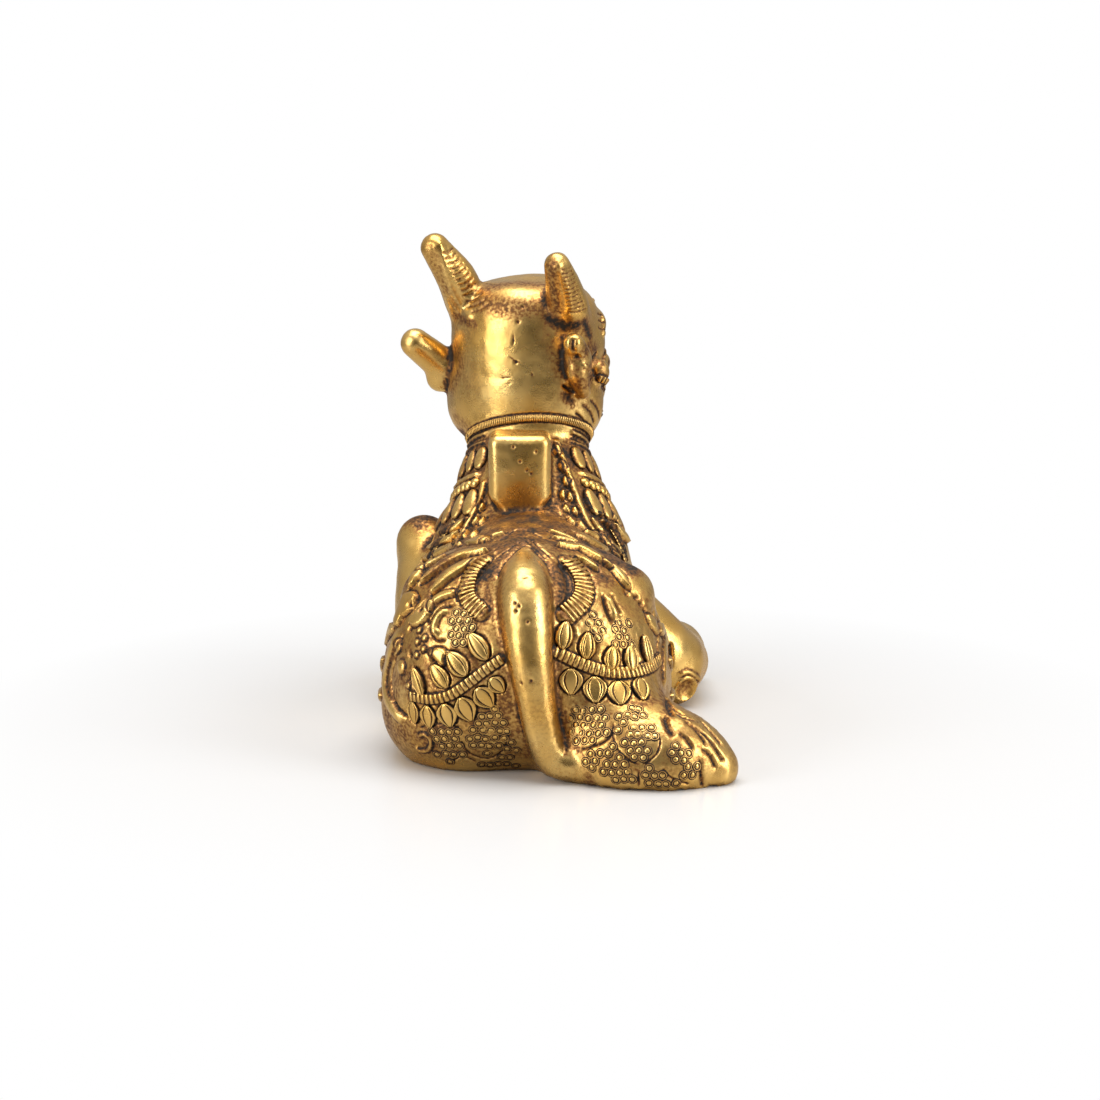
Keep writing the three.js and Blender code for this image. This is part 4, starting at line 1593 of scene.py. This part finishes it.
@functools.cache
def chasing():
    """Everything that is chased on the bull, laid out once for all pieces."""
    work = Chasing(smooth_skin()[2])
    chase_back(work)
    chase_fans(work)
    chase_garlands(work)
    chase_haunches(work)
    chase_hooves(work)
    chase_head(work)
    chase_horns(work)
    chase_neck(work)
    chase_face(work)
    chase_chest(work)
    chase_flanks(work)
    chase_feet(work)
    return work


# The chased casting as one mesh

class EdgeMap:
    """Wanted triangle edges over the casting, in small cells."""

    def __init__(self, points, work):
        self.low = points.min(axis=0) - 3
        size = (points.max(axis=0) + 3 - self.low) / MAP_CELL
        self.cells = np.full(np.ceil(size).astype(int), UNDERSIDE_EDGE, np.float32)
        for places, _, _, reach, fine in work.lines:
            self.mark(places, reach, fine)
        for places, _, reach, fine in work.spots:
            self.mark(places, reach, fine)

    def mark(self, places, reach, fine):
        for place in places:
            first = np.floor((place - MAP_SHARE * reach - self.low) / MAP_CELL).astype(int)
            last = np.floor((place + MAP_SHARE * reach - self.low) / MAP_CELL).astype(int) + 1
            near = self.cells[first[0]:last[0], first[1]:last[1], first[2]:last[2]]
            np.minimum(near, fine, out=near)

    def wanted(self, points):
        cell = np.floor((points - self.low) / MAP_CELL).astype(int)
        return np.minimum(self.cells[tuple(cell.T)], plain_edge(points))


def plain_edge(points):
    """The triangle edge that suits each part of the bull where nothing is chased."""
    _, y, z = points.T
    edge = np.full(len(points), LEG_EDGE)
    edge[z > CHIN_HEIGHT] = HEAD_EDGE
    edge[(y > HAUNCH_FRONT) & (z > 1)] = HAUNCH_EDGE
    edge[(z > SHOULDER_HEIGHT) & (z <= CHIN_HEIGHT) & (y < -2)] = NECK_EDGE
    edge[z < 0.4] = UNDERSIDE_EDGE
    return edge


def triangle_normals(points, triangles):
    """Outward directions of the mesh at its points."""
    across = np.cross(points[triangles[:, 1]] - points[triangles[:, 0]],
                      points[triangles[:, 2]] - points[triangles[:, 0]])
    total = np.zeros_like(points)
    for k in range(3):
        for axis in range(3):
            total[:, axis] += np.bincount(triangles[:, k], across[:, axis], len(points))
    return total / (np.linalg.norm(total, axis=1, keepdims=True) + 1e-12)


def neighbour_mean(points, triangles):
    """The middle of each point's neighbours."""
    ends = np.concatenate([triangles, np.roll(triangles, 1, axis=1)]).ravel()
    others = np.concatenate([np.roll(triangles, -1, axis=1), triangles]).ravel()
    count = np.maximum(np.bincount(ends, minlength=len(points)), 1)
    sums = [np.bincount(ends, points[others, axis], len(points)) for axis in range(3)]
    return np.column_stack(sums) / count[:, None]


def recess(points, triangles):
    """How deep each point lies below its surroundings, from 0 to 1: the darkness of patina and painted shade
    in the hollows.
    """
    surroundings = points
    for _ in range(RECESS_ROUNDS):
        surroundings = neighbour_mean(surroundings, triangles)
    depth = ((surroundings - points) * triangle_normals(points, triangles)).sum(axis=1)
    return np.clip(depth / RECESS_DEPTH, 0, 1)


def field_patina_and_shade(points):
    """How dark the ground between the ornaments is, with patina and painted shade in the crease beside the
    tail; each part fades over a few millimetres.
    """
    x, y, z = points.T
    neck = smooth_step(63, 60, z) * smooth_step(36, 42, z) * smooth_step(2, -6, y)
    hump = np.exp(-(np.maximum(hump_form(points), 0) / 1.2) ** 2)
    back = smooth_step(36, 41, z) * smooth_step(-8, 0, y)
    haunch = smooth_step(6, 14, y) * smooth_step(1, 5, z)
    haunch_patina = RIGHT_HAUNCH_PATINA + (LEFT_HAUNCH_PATINA - RIGHT_HAUNCH_PATINA) * smooth_step(-10, 10, x)
    to_tail = np.minimum.reduce([form(points) for form in tail_forms()])
    tail = np.exp(-(np.maximum(to_tail, 0) / 0.7) ** 2)
    rim = np.exp(-((to_tail - 1.4) ** 2)) * smooth_step(20, 30, y)
    dark = np.maximum.reduce([NECK_PATINA * neck, BACK_PATINA * back, haunch_patina * haunch,
                              TAIL_RIM_PATINA_AND_SHADE * rim])
    return dark * (1 - np.maximum(hump, tail)) + TAIL_PATINA * tail


def stained_and_shaded(points):
    """Brown stains around the roots of the horns and ears, and below the hump brown staining with painted
    shade under the block.
    """
    dark = np.zeros(len(points))
    for place, radius, amount in STAINS_AND_SHADE:
        reach = np.linalg.norm(points - np.array(place), axis=1) / radius
        dark = np.maximum(dark, amount * np.exp(-reach**2))
    return dark


def split_evenly(points, triangles, work):
    """Splits the coarse casting until every part of it is as fine as its chasing needs."""
    wanted = EdgeMap(points, work).wanted
    for _ in range(SPLIT_ROUNDS):
        before = len(points)
        points, triangles = split_edges(points, triangles, wanted)
        points[before:] = settle(points[before:])
        if len(points) == before:
            break
    return points, triangles


@functools.cache
def chased_casting(depth, patina_and_shade):
    """The whole casting with its relief: points, triangles, outward directions, and patina with painted
    shade.
    """
    points, triangles, _ = smooth_skin()
    work = chasing()
    points, triangles = split_evenly(points, triangles, work)
    height, dark = relief_height(points, work)
    field = field_patina_and_shade(points)
    crust = smooth_step(0.1, 0.6, noise(points, 6.0, 3)) * field
    rough = crust * 0.3 * noise(points, 0.8, 4)
    above_ground = smooth_step(0.2, 1.4, points[:, 2])
    shaped = points + body_normal(points) * ((depth * height + grain(points) + rough) * above_ground)[:, None]
    shaped[:, 2] = np.maximum(shaped[:, 2], 0)
    clean = 1 - smooth_step(0.1, 0.45, height)
    ground = field * (0.75 + 0.5 * noise(points, 3.0, 5)) * clean
    stain_and_shade = stained_and_shaded(points) * (0.8 + 0.6 * noise(points, 2.0, 6))
    # The darkness is brown staining and the patina of the ground, grooves and hollows, with painted shade in
    # the recesses, round the feet of raised pieces, along the tail's edges and beside it, under the hump and
    # in the ear's cup
    darkest = np.maximum.reduce([ground, dark, recess(shaped, triangles), stain_and_shade])
    return shaped, triangles, triangle_normals(shaped, triangles), np.clip(darkest * patina_and_shade, 0, 1)


def closed(points, triangles):
    """The part's triangles with a fan of triangles from its open rim to the middle of the rim."""
    sides = np.concatenate([triangles[:, [k, (k + 1) % 3]] for k in range(3)])
    keys = sides.min(axis=1) * len(points) + sides.max(axis=1)
    _, first, count = np.unique(keys, return_index=True, return_counts=True)
    rim = sides[first[count == 1]]
    middle = points[rim[:, 0]].mean(axis=0)
    fan = np.column_stack([rim[:, 1], rim[:, 0], np.full(len(rim), len(points))])
    return np.concatenate([points, middle[None]]), np.concatenate([triangles, fan])


def part_mesh(name, casting, chosen):
    """One part of the casting as a closed mesh that shades like the whole."""
    points, triangles, normals, patina_and_shade = casting
    points, triangles = closed(points, triangles[chosen])
    normals = np.concatenate([normals, [UP]])
    patina_and_shade = np.append(patina_and_shade, 1.0)
    used, numbers = np.unique(triangles, return_inverse=True)
    mesh = bpy.data.meshes.new(name)
    mesh.from_pydata(to_frame(points[used]).tolist(), [], numbers.reshape(-1, 3).tolist())
    layer = mesh.attributes.new("patina_and_shade", "FLOAT", "POINT")
    layer.data.foreach_set("value", patina_and_shade[used].astype(np.float32))
    mesh.shade_smooth()
    mesh.normals_split_custom_set_from_vertices(normals[used].tolist())
    return mesh


# Brass; noise scales are per metre

DARK_ROUGHNESS = 0.38


def noise_node(tree, place, scale, detail):
    node = add_node(tree, "ShaderNodeTexNoise", {"Vector": place, "Scale": scale, "Detail": detail})
    return node.outputs["Fac"]


def spread(tree, value, low, high, to_low=0.0, to_high=1.0):
    """A value carried from one range to another."""
    ranges = {"Value": value, "From Min": low, "From Max": high, "To Min": to_low, "To Max": to_high}
    return add_node(tree, "ShaderNodeMapRange", ranges).outputs["Result"]


def math_of(tree, operation, first, second):
    return add_node(tree, "ShaderNodeMath", {0: first, 1: second}, operation=operation).outputs["Value"]


def numbered(sockets, identifier):
    """A socket by its identifier, where several share a name."""
    return next(socket for socket in sockets if socket.identifier == identifier)


def blended(tree, share, first, second):
    """Two colours mixed by a share; either may be a socket or a colour."""
    node = add_node(tree, "ShaderNodeMix", data_type="RGBA")
    feed(tree, node.inputs["Factor"], share)
    for identifier, value in (("A_Color", first), ("B_Color", second)):
        colour = value if isinstance(value, bpy.types.NodeSocket) else (*value, 1)
        feed(tree, numbered(node.inputs, identifier), colour)
    return numbered(node.outputs, "Result_Color")


def brass_material(finish):
    """Polished golden brass that turns red-brown, then nearly black, where its patina and painted shade lie.
    """
    material = bpy.data.materials.new("patinated brass")
    material.use_nodes = True
    tree = material.node_tree
    shader = tree.nodes["Principled BSDF"].inputs
    place = add_node(tree, "ShaderNodeTexCoord").outputs["Object"]
    film = add_node(tree, "ShaderNodeAttribute", attribute_name="patina_and_shade").outputs["Fac"]
    speckle = spread(tree, noise_node(tree, place, 1400, 3), 0.3, 0.7, -0.22, 0.22)
    speckle = math_of(tree, "MULTIPLY", speckle, spread(tree, film, 0.0, 0.5, 0.35, 1.3))
    patina_and_shade = math_of(tree, "ADD", film, speckle)
    tone = spread(tree, noise_node(tree, place, 90, 2), 0.35, 0.65)
    bright = blended(tree, tone, tuple(finish.bright), tuple(finish.pale))
    warm = blended(tree, spread(tree, patina_and_shade, 0.06, 0.5), bright, tuple(finish.warm))
    colour = blended(tree, spread(tree, patina_and_shade, 0.42, 0.9), warm, tuple(finish.dark))
    wear = spread(tree, noise_node(tree, place, 260, 3), 0.3, 0.7, -0.05, 0.07)
    rough = spread(tree, patina_and_shade, 0.1, 0.9, finish.roughness, finish.roughness + DARK_ROUGHNESS)
    height = math_of(tree, "ADD", noise_node(tree, place, 900, 4), noise_node(tree, place, 3200, 2))
    bump = {"Height": height, "Strength": 0.25, "Distance": 0.1 / METRE}
    feed(tree, shader["Base Color"], colour)
    feed(tree, shader["Metallic"], spread(tree, patina_and_shade, 0.45, 1.0, 1.0, 0.35))
    feed(tree, shader["Roughness"], math_of(tree, "ADD", rough, wear))
    feed(tree, shader["Normal"], add_node(tree, "ShaderNodeBump", bump).outputs["Normal"])
    return material


def brass():
    """The brass of this scene, made once."""
    return bpy.data.materials.get("patinated brass") or brass_material(bpy.context.scene.brass_bull_finish)


# The pieces

def plain_piece(name, mesh):
    mesh.materials.append(brass())
    piece = bpy.data.objects.new(name, mesh)
    bpy.context.scene.collection.objects.link(piece)
    return finish_piece(piece)


def laid_piece(name, shape, scale=1.0):
    """A group of shapes laid on points of the casting by nodes."""
    rows = chasing().laid[name]
    places, facing, along, size = (np.array([row[i] for row in rows]) for i in range(4))
    source = carrier(name + "_points", places, [], facing=facing, along=along, size=size)
    tree = bpy.data.node_groups.get("lay on points") or lay_on_points_tree()
    piece = realized(name, source, tree, Template=shape, Scale=scale / METRE, Material=brass())
    return finish_piece(piece)


def ribbed_piece(name, shape, spacing):
    """Bars repeated along lines of the casting by nodes."""
    places, facing, sizes, edges = [], [], [], []
    for line, normals, size in chasing().ribbed[name]:
        first = len(places)
        places.extend(line)
        facing.extend(normals)
        sizes.extend([size] * len(line))
        edges.extend((first + k, first + k + 1) for k in range(len(line) - 1))
    source = carrier(name + "_lines", np.array(places), edges, facing=facing, size=sizes)
    tree = bpy.data.node_groups.get("repeat along lines") or repeat_along_lines_tree()
    piece = realized(name, source, tree, Template=shape, Scale=1 / METRE, Spacing=spacing, Material=brass())
    return finish_piece(piece)


# Profiles as (radius, height, darkness); the darkness in the grooves and at the foot is patina and painted
# shade
RING_PROFILE = ((0, 0.12, 0.0), (0.36, 0.10, 0.0), (0.44, 0.02, 1.0), (0.57, 0.02, 1.0), (0.66, 0.12, 0.1),
                (0.76, 0.06, 0.6), (0.82, 0.03, 1.0), (0.9, 0.02, 1.0), (0.97, -0.15, 1.0))
BEAD_PROFILE = ((0, 0.95, 0.0), (0.35, 0.82, 0.0), (0.62, 0.5, 0.1), (0.74, 0.1, 0.8), (0.76, -0.3, 1.0))


# What a user would change

class BullCasting(bpy.types.PropertyGroup):
    """How the casting is chased."""
    depth: FloatProperty(name="Relief", description="How far the chasing stands out, against the real one",
                         default=1.0, min=0, max=2, subtype="FACTOR")
    patina_and_shade: FloatProperty(name="Patina", description="How dark the recesses are, against the real one",
                          default=1.0, min=0, max=2, subtype="FACTOR")
    ring_scale: FloatProperty(name="Ring punches", description="Radius of a ring with its groove, in mm",
                              default=1.22, min=0.4, max=1.5)
    garland_pitch: FloatProperty(name="Garland pitch", description="From one rib of a garland to the next",
                                 default=1.1 / METRE, min=0.0005, unit="LENGTH")
    fan_pitch: FloatProperty(name="Fan pitch", description="From one rib of a fan to the next",
                             default=0.95 / METRE, min=0.0005, unit="LENGTH")
    strap_pitch: FloatProperty(name="Strap pitch", description="From one rib of a strap to the next",
                               default=0.9 / METRE, min=0.0003, unit="LENGTH")
    collar_pitch: FloatProperty(name="Collar pitch", description="From one rib of the collar to the next",
                                default=0.5 / METRE, min=0.0003, unit="LENGTH")


class BullFinish(bpy.types.PropertyGroup):
    """Colours and polish of the brass."""
    bright: FloatVectorProperty(name="Bright brass", description="Polished high places", subtype="COLOR",
                                size=3, default=(0.80, 0.48, 0.125), min=0, max=1)
    pale: FloatVectorProperty(name="Pale brass", description="Paler clouds in the polish", subtype="COLOR",
                              size=3, default=(0.86, 0.58, 0.20), min=0, max=1)
    warm: FloatVectorProperty(name="Warm patina", description="Red-brown film beside the recesses",
                              subtype="COLOR", size=3, default=(0.33, 0.15, 0.05), min=0, max=1)
    dark: FloatVectorProperty(name="Dark patina", description="What fills the deepest recesses",
                              subtype="COLOR", size=3, default=(0.02, 0.014, 0.01), min=0, max=1)
    roughness: FloatProperty(name="Roughness", description="Roughness of the polished places",
                             default=0.27, min=0, max=1, subtype="FACTOR")


class BullStudio(bpy.types.PropertyGroup):
    """Light and floor."""
    floor: FloatVectorProperty(name="Floor", description="Colour of the floor", subtype="COLOR",
                               size=3, default=(0.70, 0.70, 0.70), min=0, max=1)
    sky: FloatProperty(name="Surroundings", description="Brightness of the pale room", default=1.0, min=0)
    lamps: FloatProperty(name="Softboxes", description="Power of the softboxes, against the usual",
                         default=1.0, min=0)


class BULL_OT_cast(bpy.types.Operator):
    """Casts the bull in brass: its haunches and its fore part, which meet at the waist without a gap"""
    bl_idname = "brass_bull.cast"
    bl_label = "Cast the bull"

    def execute(self, context):
        settings = context.scene.brass_bull_casting
        casting = chased_casting(settings.depth, settings.patina_and_shade)
        behind = casting[0][casting[1]].mean(axis=1)[:, 1] > WAIST
        plain_piece("haunches", part_mesh("haunches", casting, behind))
        piece = plain_piece("fore_part", part_mesh("fore_part", casting, ~behind))
        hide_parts("nandi")
        return {"FINISHED"}


class BULL_OT_rings(bpy.types.Operator):
    """Punches the small rings into the haunches, the hind foot and the cloth"""
    bl_idname = "brass_bull.rings"
    bl_label = "Punch the rings"

    def execute(self, context):
        shape = spun_template("ring", RING_PROFILE, 12)
        laid_piece("ring_punches", shape, context.scene.brass_bull_casting.ring_scale)
        return {"FINISHED"}


class BULL_OT_petals(bpy.types.Operator):
    """Lays the petals above and below the garlands"""
    bl_idname = "brass_bull.petals"
    bl_label = "Lay the petals"

    def execute(self, context):
        laid_piece("domed_petals", petal_template("domed petal", DOMED_SECTION, 0.42, 0.65))
        laid_piece("flat_petals", petal_template("flat petal", FLAT_SECTION, 0.42, 0.8))
        return {"FINISHED"}


class BULL_OT_ribs(bpy.types.Operator):
    """Lays the ribs of the garlands, the fans, the straps and the collar"""
    bl_idname = "brass_bull.ribs"
    bl_label = "Lay the ribs"

    def execute(self, context):
        casting = context.scene.brass_bull_casting
        ribbed_piece("garland_ribs", bar_template("garland rib"), casting.garland_pitch)
        ribbed_piece("fan_ribs", bar_template("fan rib"), casting.fan_pitch)
        ribbed_piece("strap_ribs", bar_template("strap rib"), casting.strap_pitch)
        ribbed_piece("collar_ribs", bar_template("collar rib"), casting.collar_pitch)
        return {"FINISHED"}


class BULL_OT_neck(bpy.types.Operator):
    """Hangs the pendants, bells and beads round the neck"""
    bl_idname = "brass_bull.neck"
    bl_label = "Dress the neck"

    def execute(self, context):
        laid_piece("neck_pendants", petal_template("pendant", PLAIN_SECTION, 0.6, 0.35))
        laid_piece("neck_bells", petal_template("bell", PLAIN_SECTION, 0.7, 0.4))
        laid_piece("neck_beads", spun_template("bead", BEAD_PROFILE, 10))
        return {"FINISHED"}


class BULL_OT_studio(bpy.types.Operator):
    """Sets the floor, the softboxes and the photograph's camera"""
    bl_idname = "brass_bull.studio"
    bl_label = "Set the studio"

    def execute(self, context):
        studio = context.scene.brass_bull_studio
        lay_floor(studio)
        light_room(studio)
        for name, place, width, height, power in SOFTBOXES:
            softbox(name, place, width, height, power * studio.lamps)
        place_camera()
        context.scene.view_settings.view_transform = "Standard"
        return {"FINISHED"}


# Studio; places are metres from the middle of the casting at the floor

SOFTBOXES = (
    ("left softbox", (0.70, 0.45, 0.30), 0.35, 0.6, 3.0),
    ("right softbox", (-0.75, 0.35, 0.35), 0.4, 0.6, 4.0),
    ("top softbox", (0.0, 0.0, 0.95), 0.9, 0.7, 8.4),
)
FLOOR_RADIUS = 0.42
FLOOR_SIDES = 96
FLOOR_FADE = (0.06, 0.14)
FLOOR_IN_MIRRORS = (0.42, 0.40, 0.38)
ROOM_LOW = (0.30, 0.28, 0.26)
ROOM_HIGH = (0.62, 0.60, 0.58)
ROOM_BEHIND = (0.10, 0.09, 0.08)
WHITE = (1, 1, 1)


def floor_material(studio):
    """Paper that the camera sees fade to white with distance; reflections see a darker one."""
    material = bpy.data.materials.new("floor")
    material.use_nodes = True
    tree = material.node_tree
    shader = tree.nodes["Principled BSDF"]
    direct = add_node(tree, "ShaderNodeLightPath").outputs["Is Camera Ray"]
    colour = blended(tree, direct, FLOOR_IN_MIRRORS, tuple(studio.floor))
    feed(tree, shader.inputs["Base Color"], colour)
    feed(tree, shader.inputs["Roughness"], 0.3)
    place = add_node(tree, "ShaderNodeTexCoord").outputs["Object"]
    reach = add_node(tree, "ShaderNodeVectorMath", {0: place}, operation="LENGTH").outputs["Value"]
    far = math_of(tree, "MULTIPLY", spread(tree, reach, *FLOOR_FADE), direct)
    paper = add_node(tree, "ShaderNodeEmission").outputs["Emission"]
    mix = add_node(tree, "ShaderNodeMixShader", {"Fac": far, 1: shader.outputs["BSDF"], 2: paper})
    feed(tree, tree.nodes["Material Output"].inputs["Surface"], mix.outputs["Shader"])
    return material


def lay_floor(studio):
    mesh = bpy.data.meshes.new("floor")
    turns = [2 * math.pi * k / FLOOR_SIDES for k in range(FLOOR_SIDES)]
    rim = [(FLOOR_RADIUS * math.cos(turn), FLOOR_RADIUS * math.sin(turn), 0) for turn in turns]
    mesh.from_pydata(rim, [], [range(FLOOR_SIDES)])
    mesh.materials.append(floor_material(studio))
    floor = bpy.data.objects.new("floor", mesh)
    bpy.context.scene.collection.objects.link(floor)


def light_room(studio):
    """A pale room that is darker behind the camera; the camera itself sees white."""
    world = bpy.data.worlds.new("room")
    world.use_nodes = True
    tree = world.node_tree
    background = tree.nodes["Background"].inputs
    direction = add_node(tree, "ShaderNodeTexCoord").outputs["Generated"]
    axes = add_node(tree, "ShaderNodeSeparateXYZ", {"Vector": direction}).outputs
    room = blended(tree, spread(tree, axes["Z"], -0.1, 0.9), ROOM_LOW, ROOM_HIGH)
    room = blended(tree, spread(tree, axes["Y"], 0.78, 0.95), room, ROOM_BEHIND)
    direct = add_node(tree, "ShaderNodeLightPath").outputs["Is Camera Ray"]
    feed(tree, background["Color"], blended(tree, direct, room, WHITE))
    feed(tree, background["Strength"], studio.sky)
    bpy.context.scene.world = world


def aimed(place, target):
    """The matrix of a lamp or camera at a place that looks at a target."""
    turn = (Vector(target) - Vector(place)).to_track_quat("-Z", "Y")
    return Matrix.Translation(place) @ turn.to_matrix().to_4x4()


def softbox(name, place, width, height, power):
    light = bpy.data.lights.new(name, "AREA")
    light.shape = "RECTANGLE"
    light.size = width
    light.size_y = height
    light.energy = power
    lamp = bpy.data.objects.new(name, light)
    lamp.matrix_world = aimed(place, to_frame(CAMERA_TARGET))
    bpy.context.scene.collection.objects.link(lamp)


def place_camera():
    data = bpy.data.cameras.new("camera")
    data.sensor_width = SENSOR
    data.lens = FOCAL_PIXELS / PHOTO_SIZE * SENSOR
    eye = CAMERA_TARGET + CAMERA_DISTANCE * np.array([0, math.cos(CAMERA_RISE), math.sin(CAMERA_RISE)])
    camera = bpy.data.objects.new("camera", data)
    camera.matrix_world = aimed(to_frame(eye), to_frame(CAMERA_TARGET))
    bpy.context.scene.collection.objects.link(camera)
    bpy.context.scene.camera = camera


class BULL_PT_panel(bpy.types.Panel):
    bl_label = "Brass Bull"
    bl_idname = "BULL_PT_panel"
    bl_space_type = "VIEW_3D"
    bl_region_type = "UI"
    bl_category = "Brass Bull"

    def draw(self, context):
        layout = self.layout
        for group in (context.scene.brass_bull_casting, context.scene.brass_bull_finish,
                      context.scene.brass_bull_studio):
            for name in group.__annotations__:
                layout.prop(group, name)
        for operator in OPERATORS:
            layout.operator(operator.bl_idname)


OPERATORS = (BULL_OT_cast, BULL_OT_rings, BULL_OT_petals, BULL_OT_ribs, BULL_OT_neck, BULL_OT_studio)
CLASSES = (BullCasting, BullFinish, BullStudio, *OPERATORS, BULL_PT_panel)


def register():
    for cls in CLASSES:
        bpy.utils.register_class(cls)
    bpy.types.Scene.brass_bull_casting = PointerProperty(type=BullCasting)
    bpy.types.Scene.brass_bull_finish = PointerProperty(type=BullFinish)
    bpy.types.Scene.brass_bull_studio = PointerProperty(type=BullStudio)


def unregister():
    del bpy.types.Scene.brass_bull_studio
    del bpy.types.Scene.brass_bull_finish
    del bpy.types.Scene.brass_bull_casting
    for cls in reversed(CLASSES):
        bpy.utils.unregister_class(cls)


def main():
    register()
    bpy.ops.brass_bull.cast()
    bpy.ops.brass_bull.rings()
    bpy.ops.brass_bull.petals()
    bpy.ops.brass_bull.ribs()
    bpy.ops.brass_bull.neck()
    bpy.ops.brass_bull.studio()


if __name__ == "__main__":
    main()
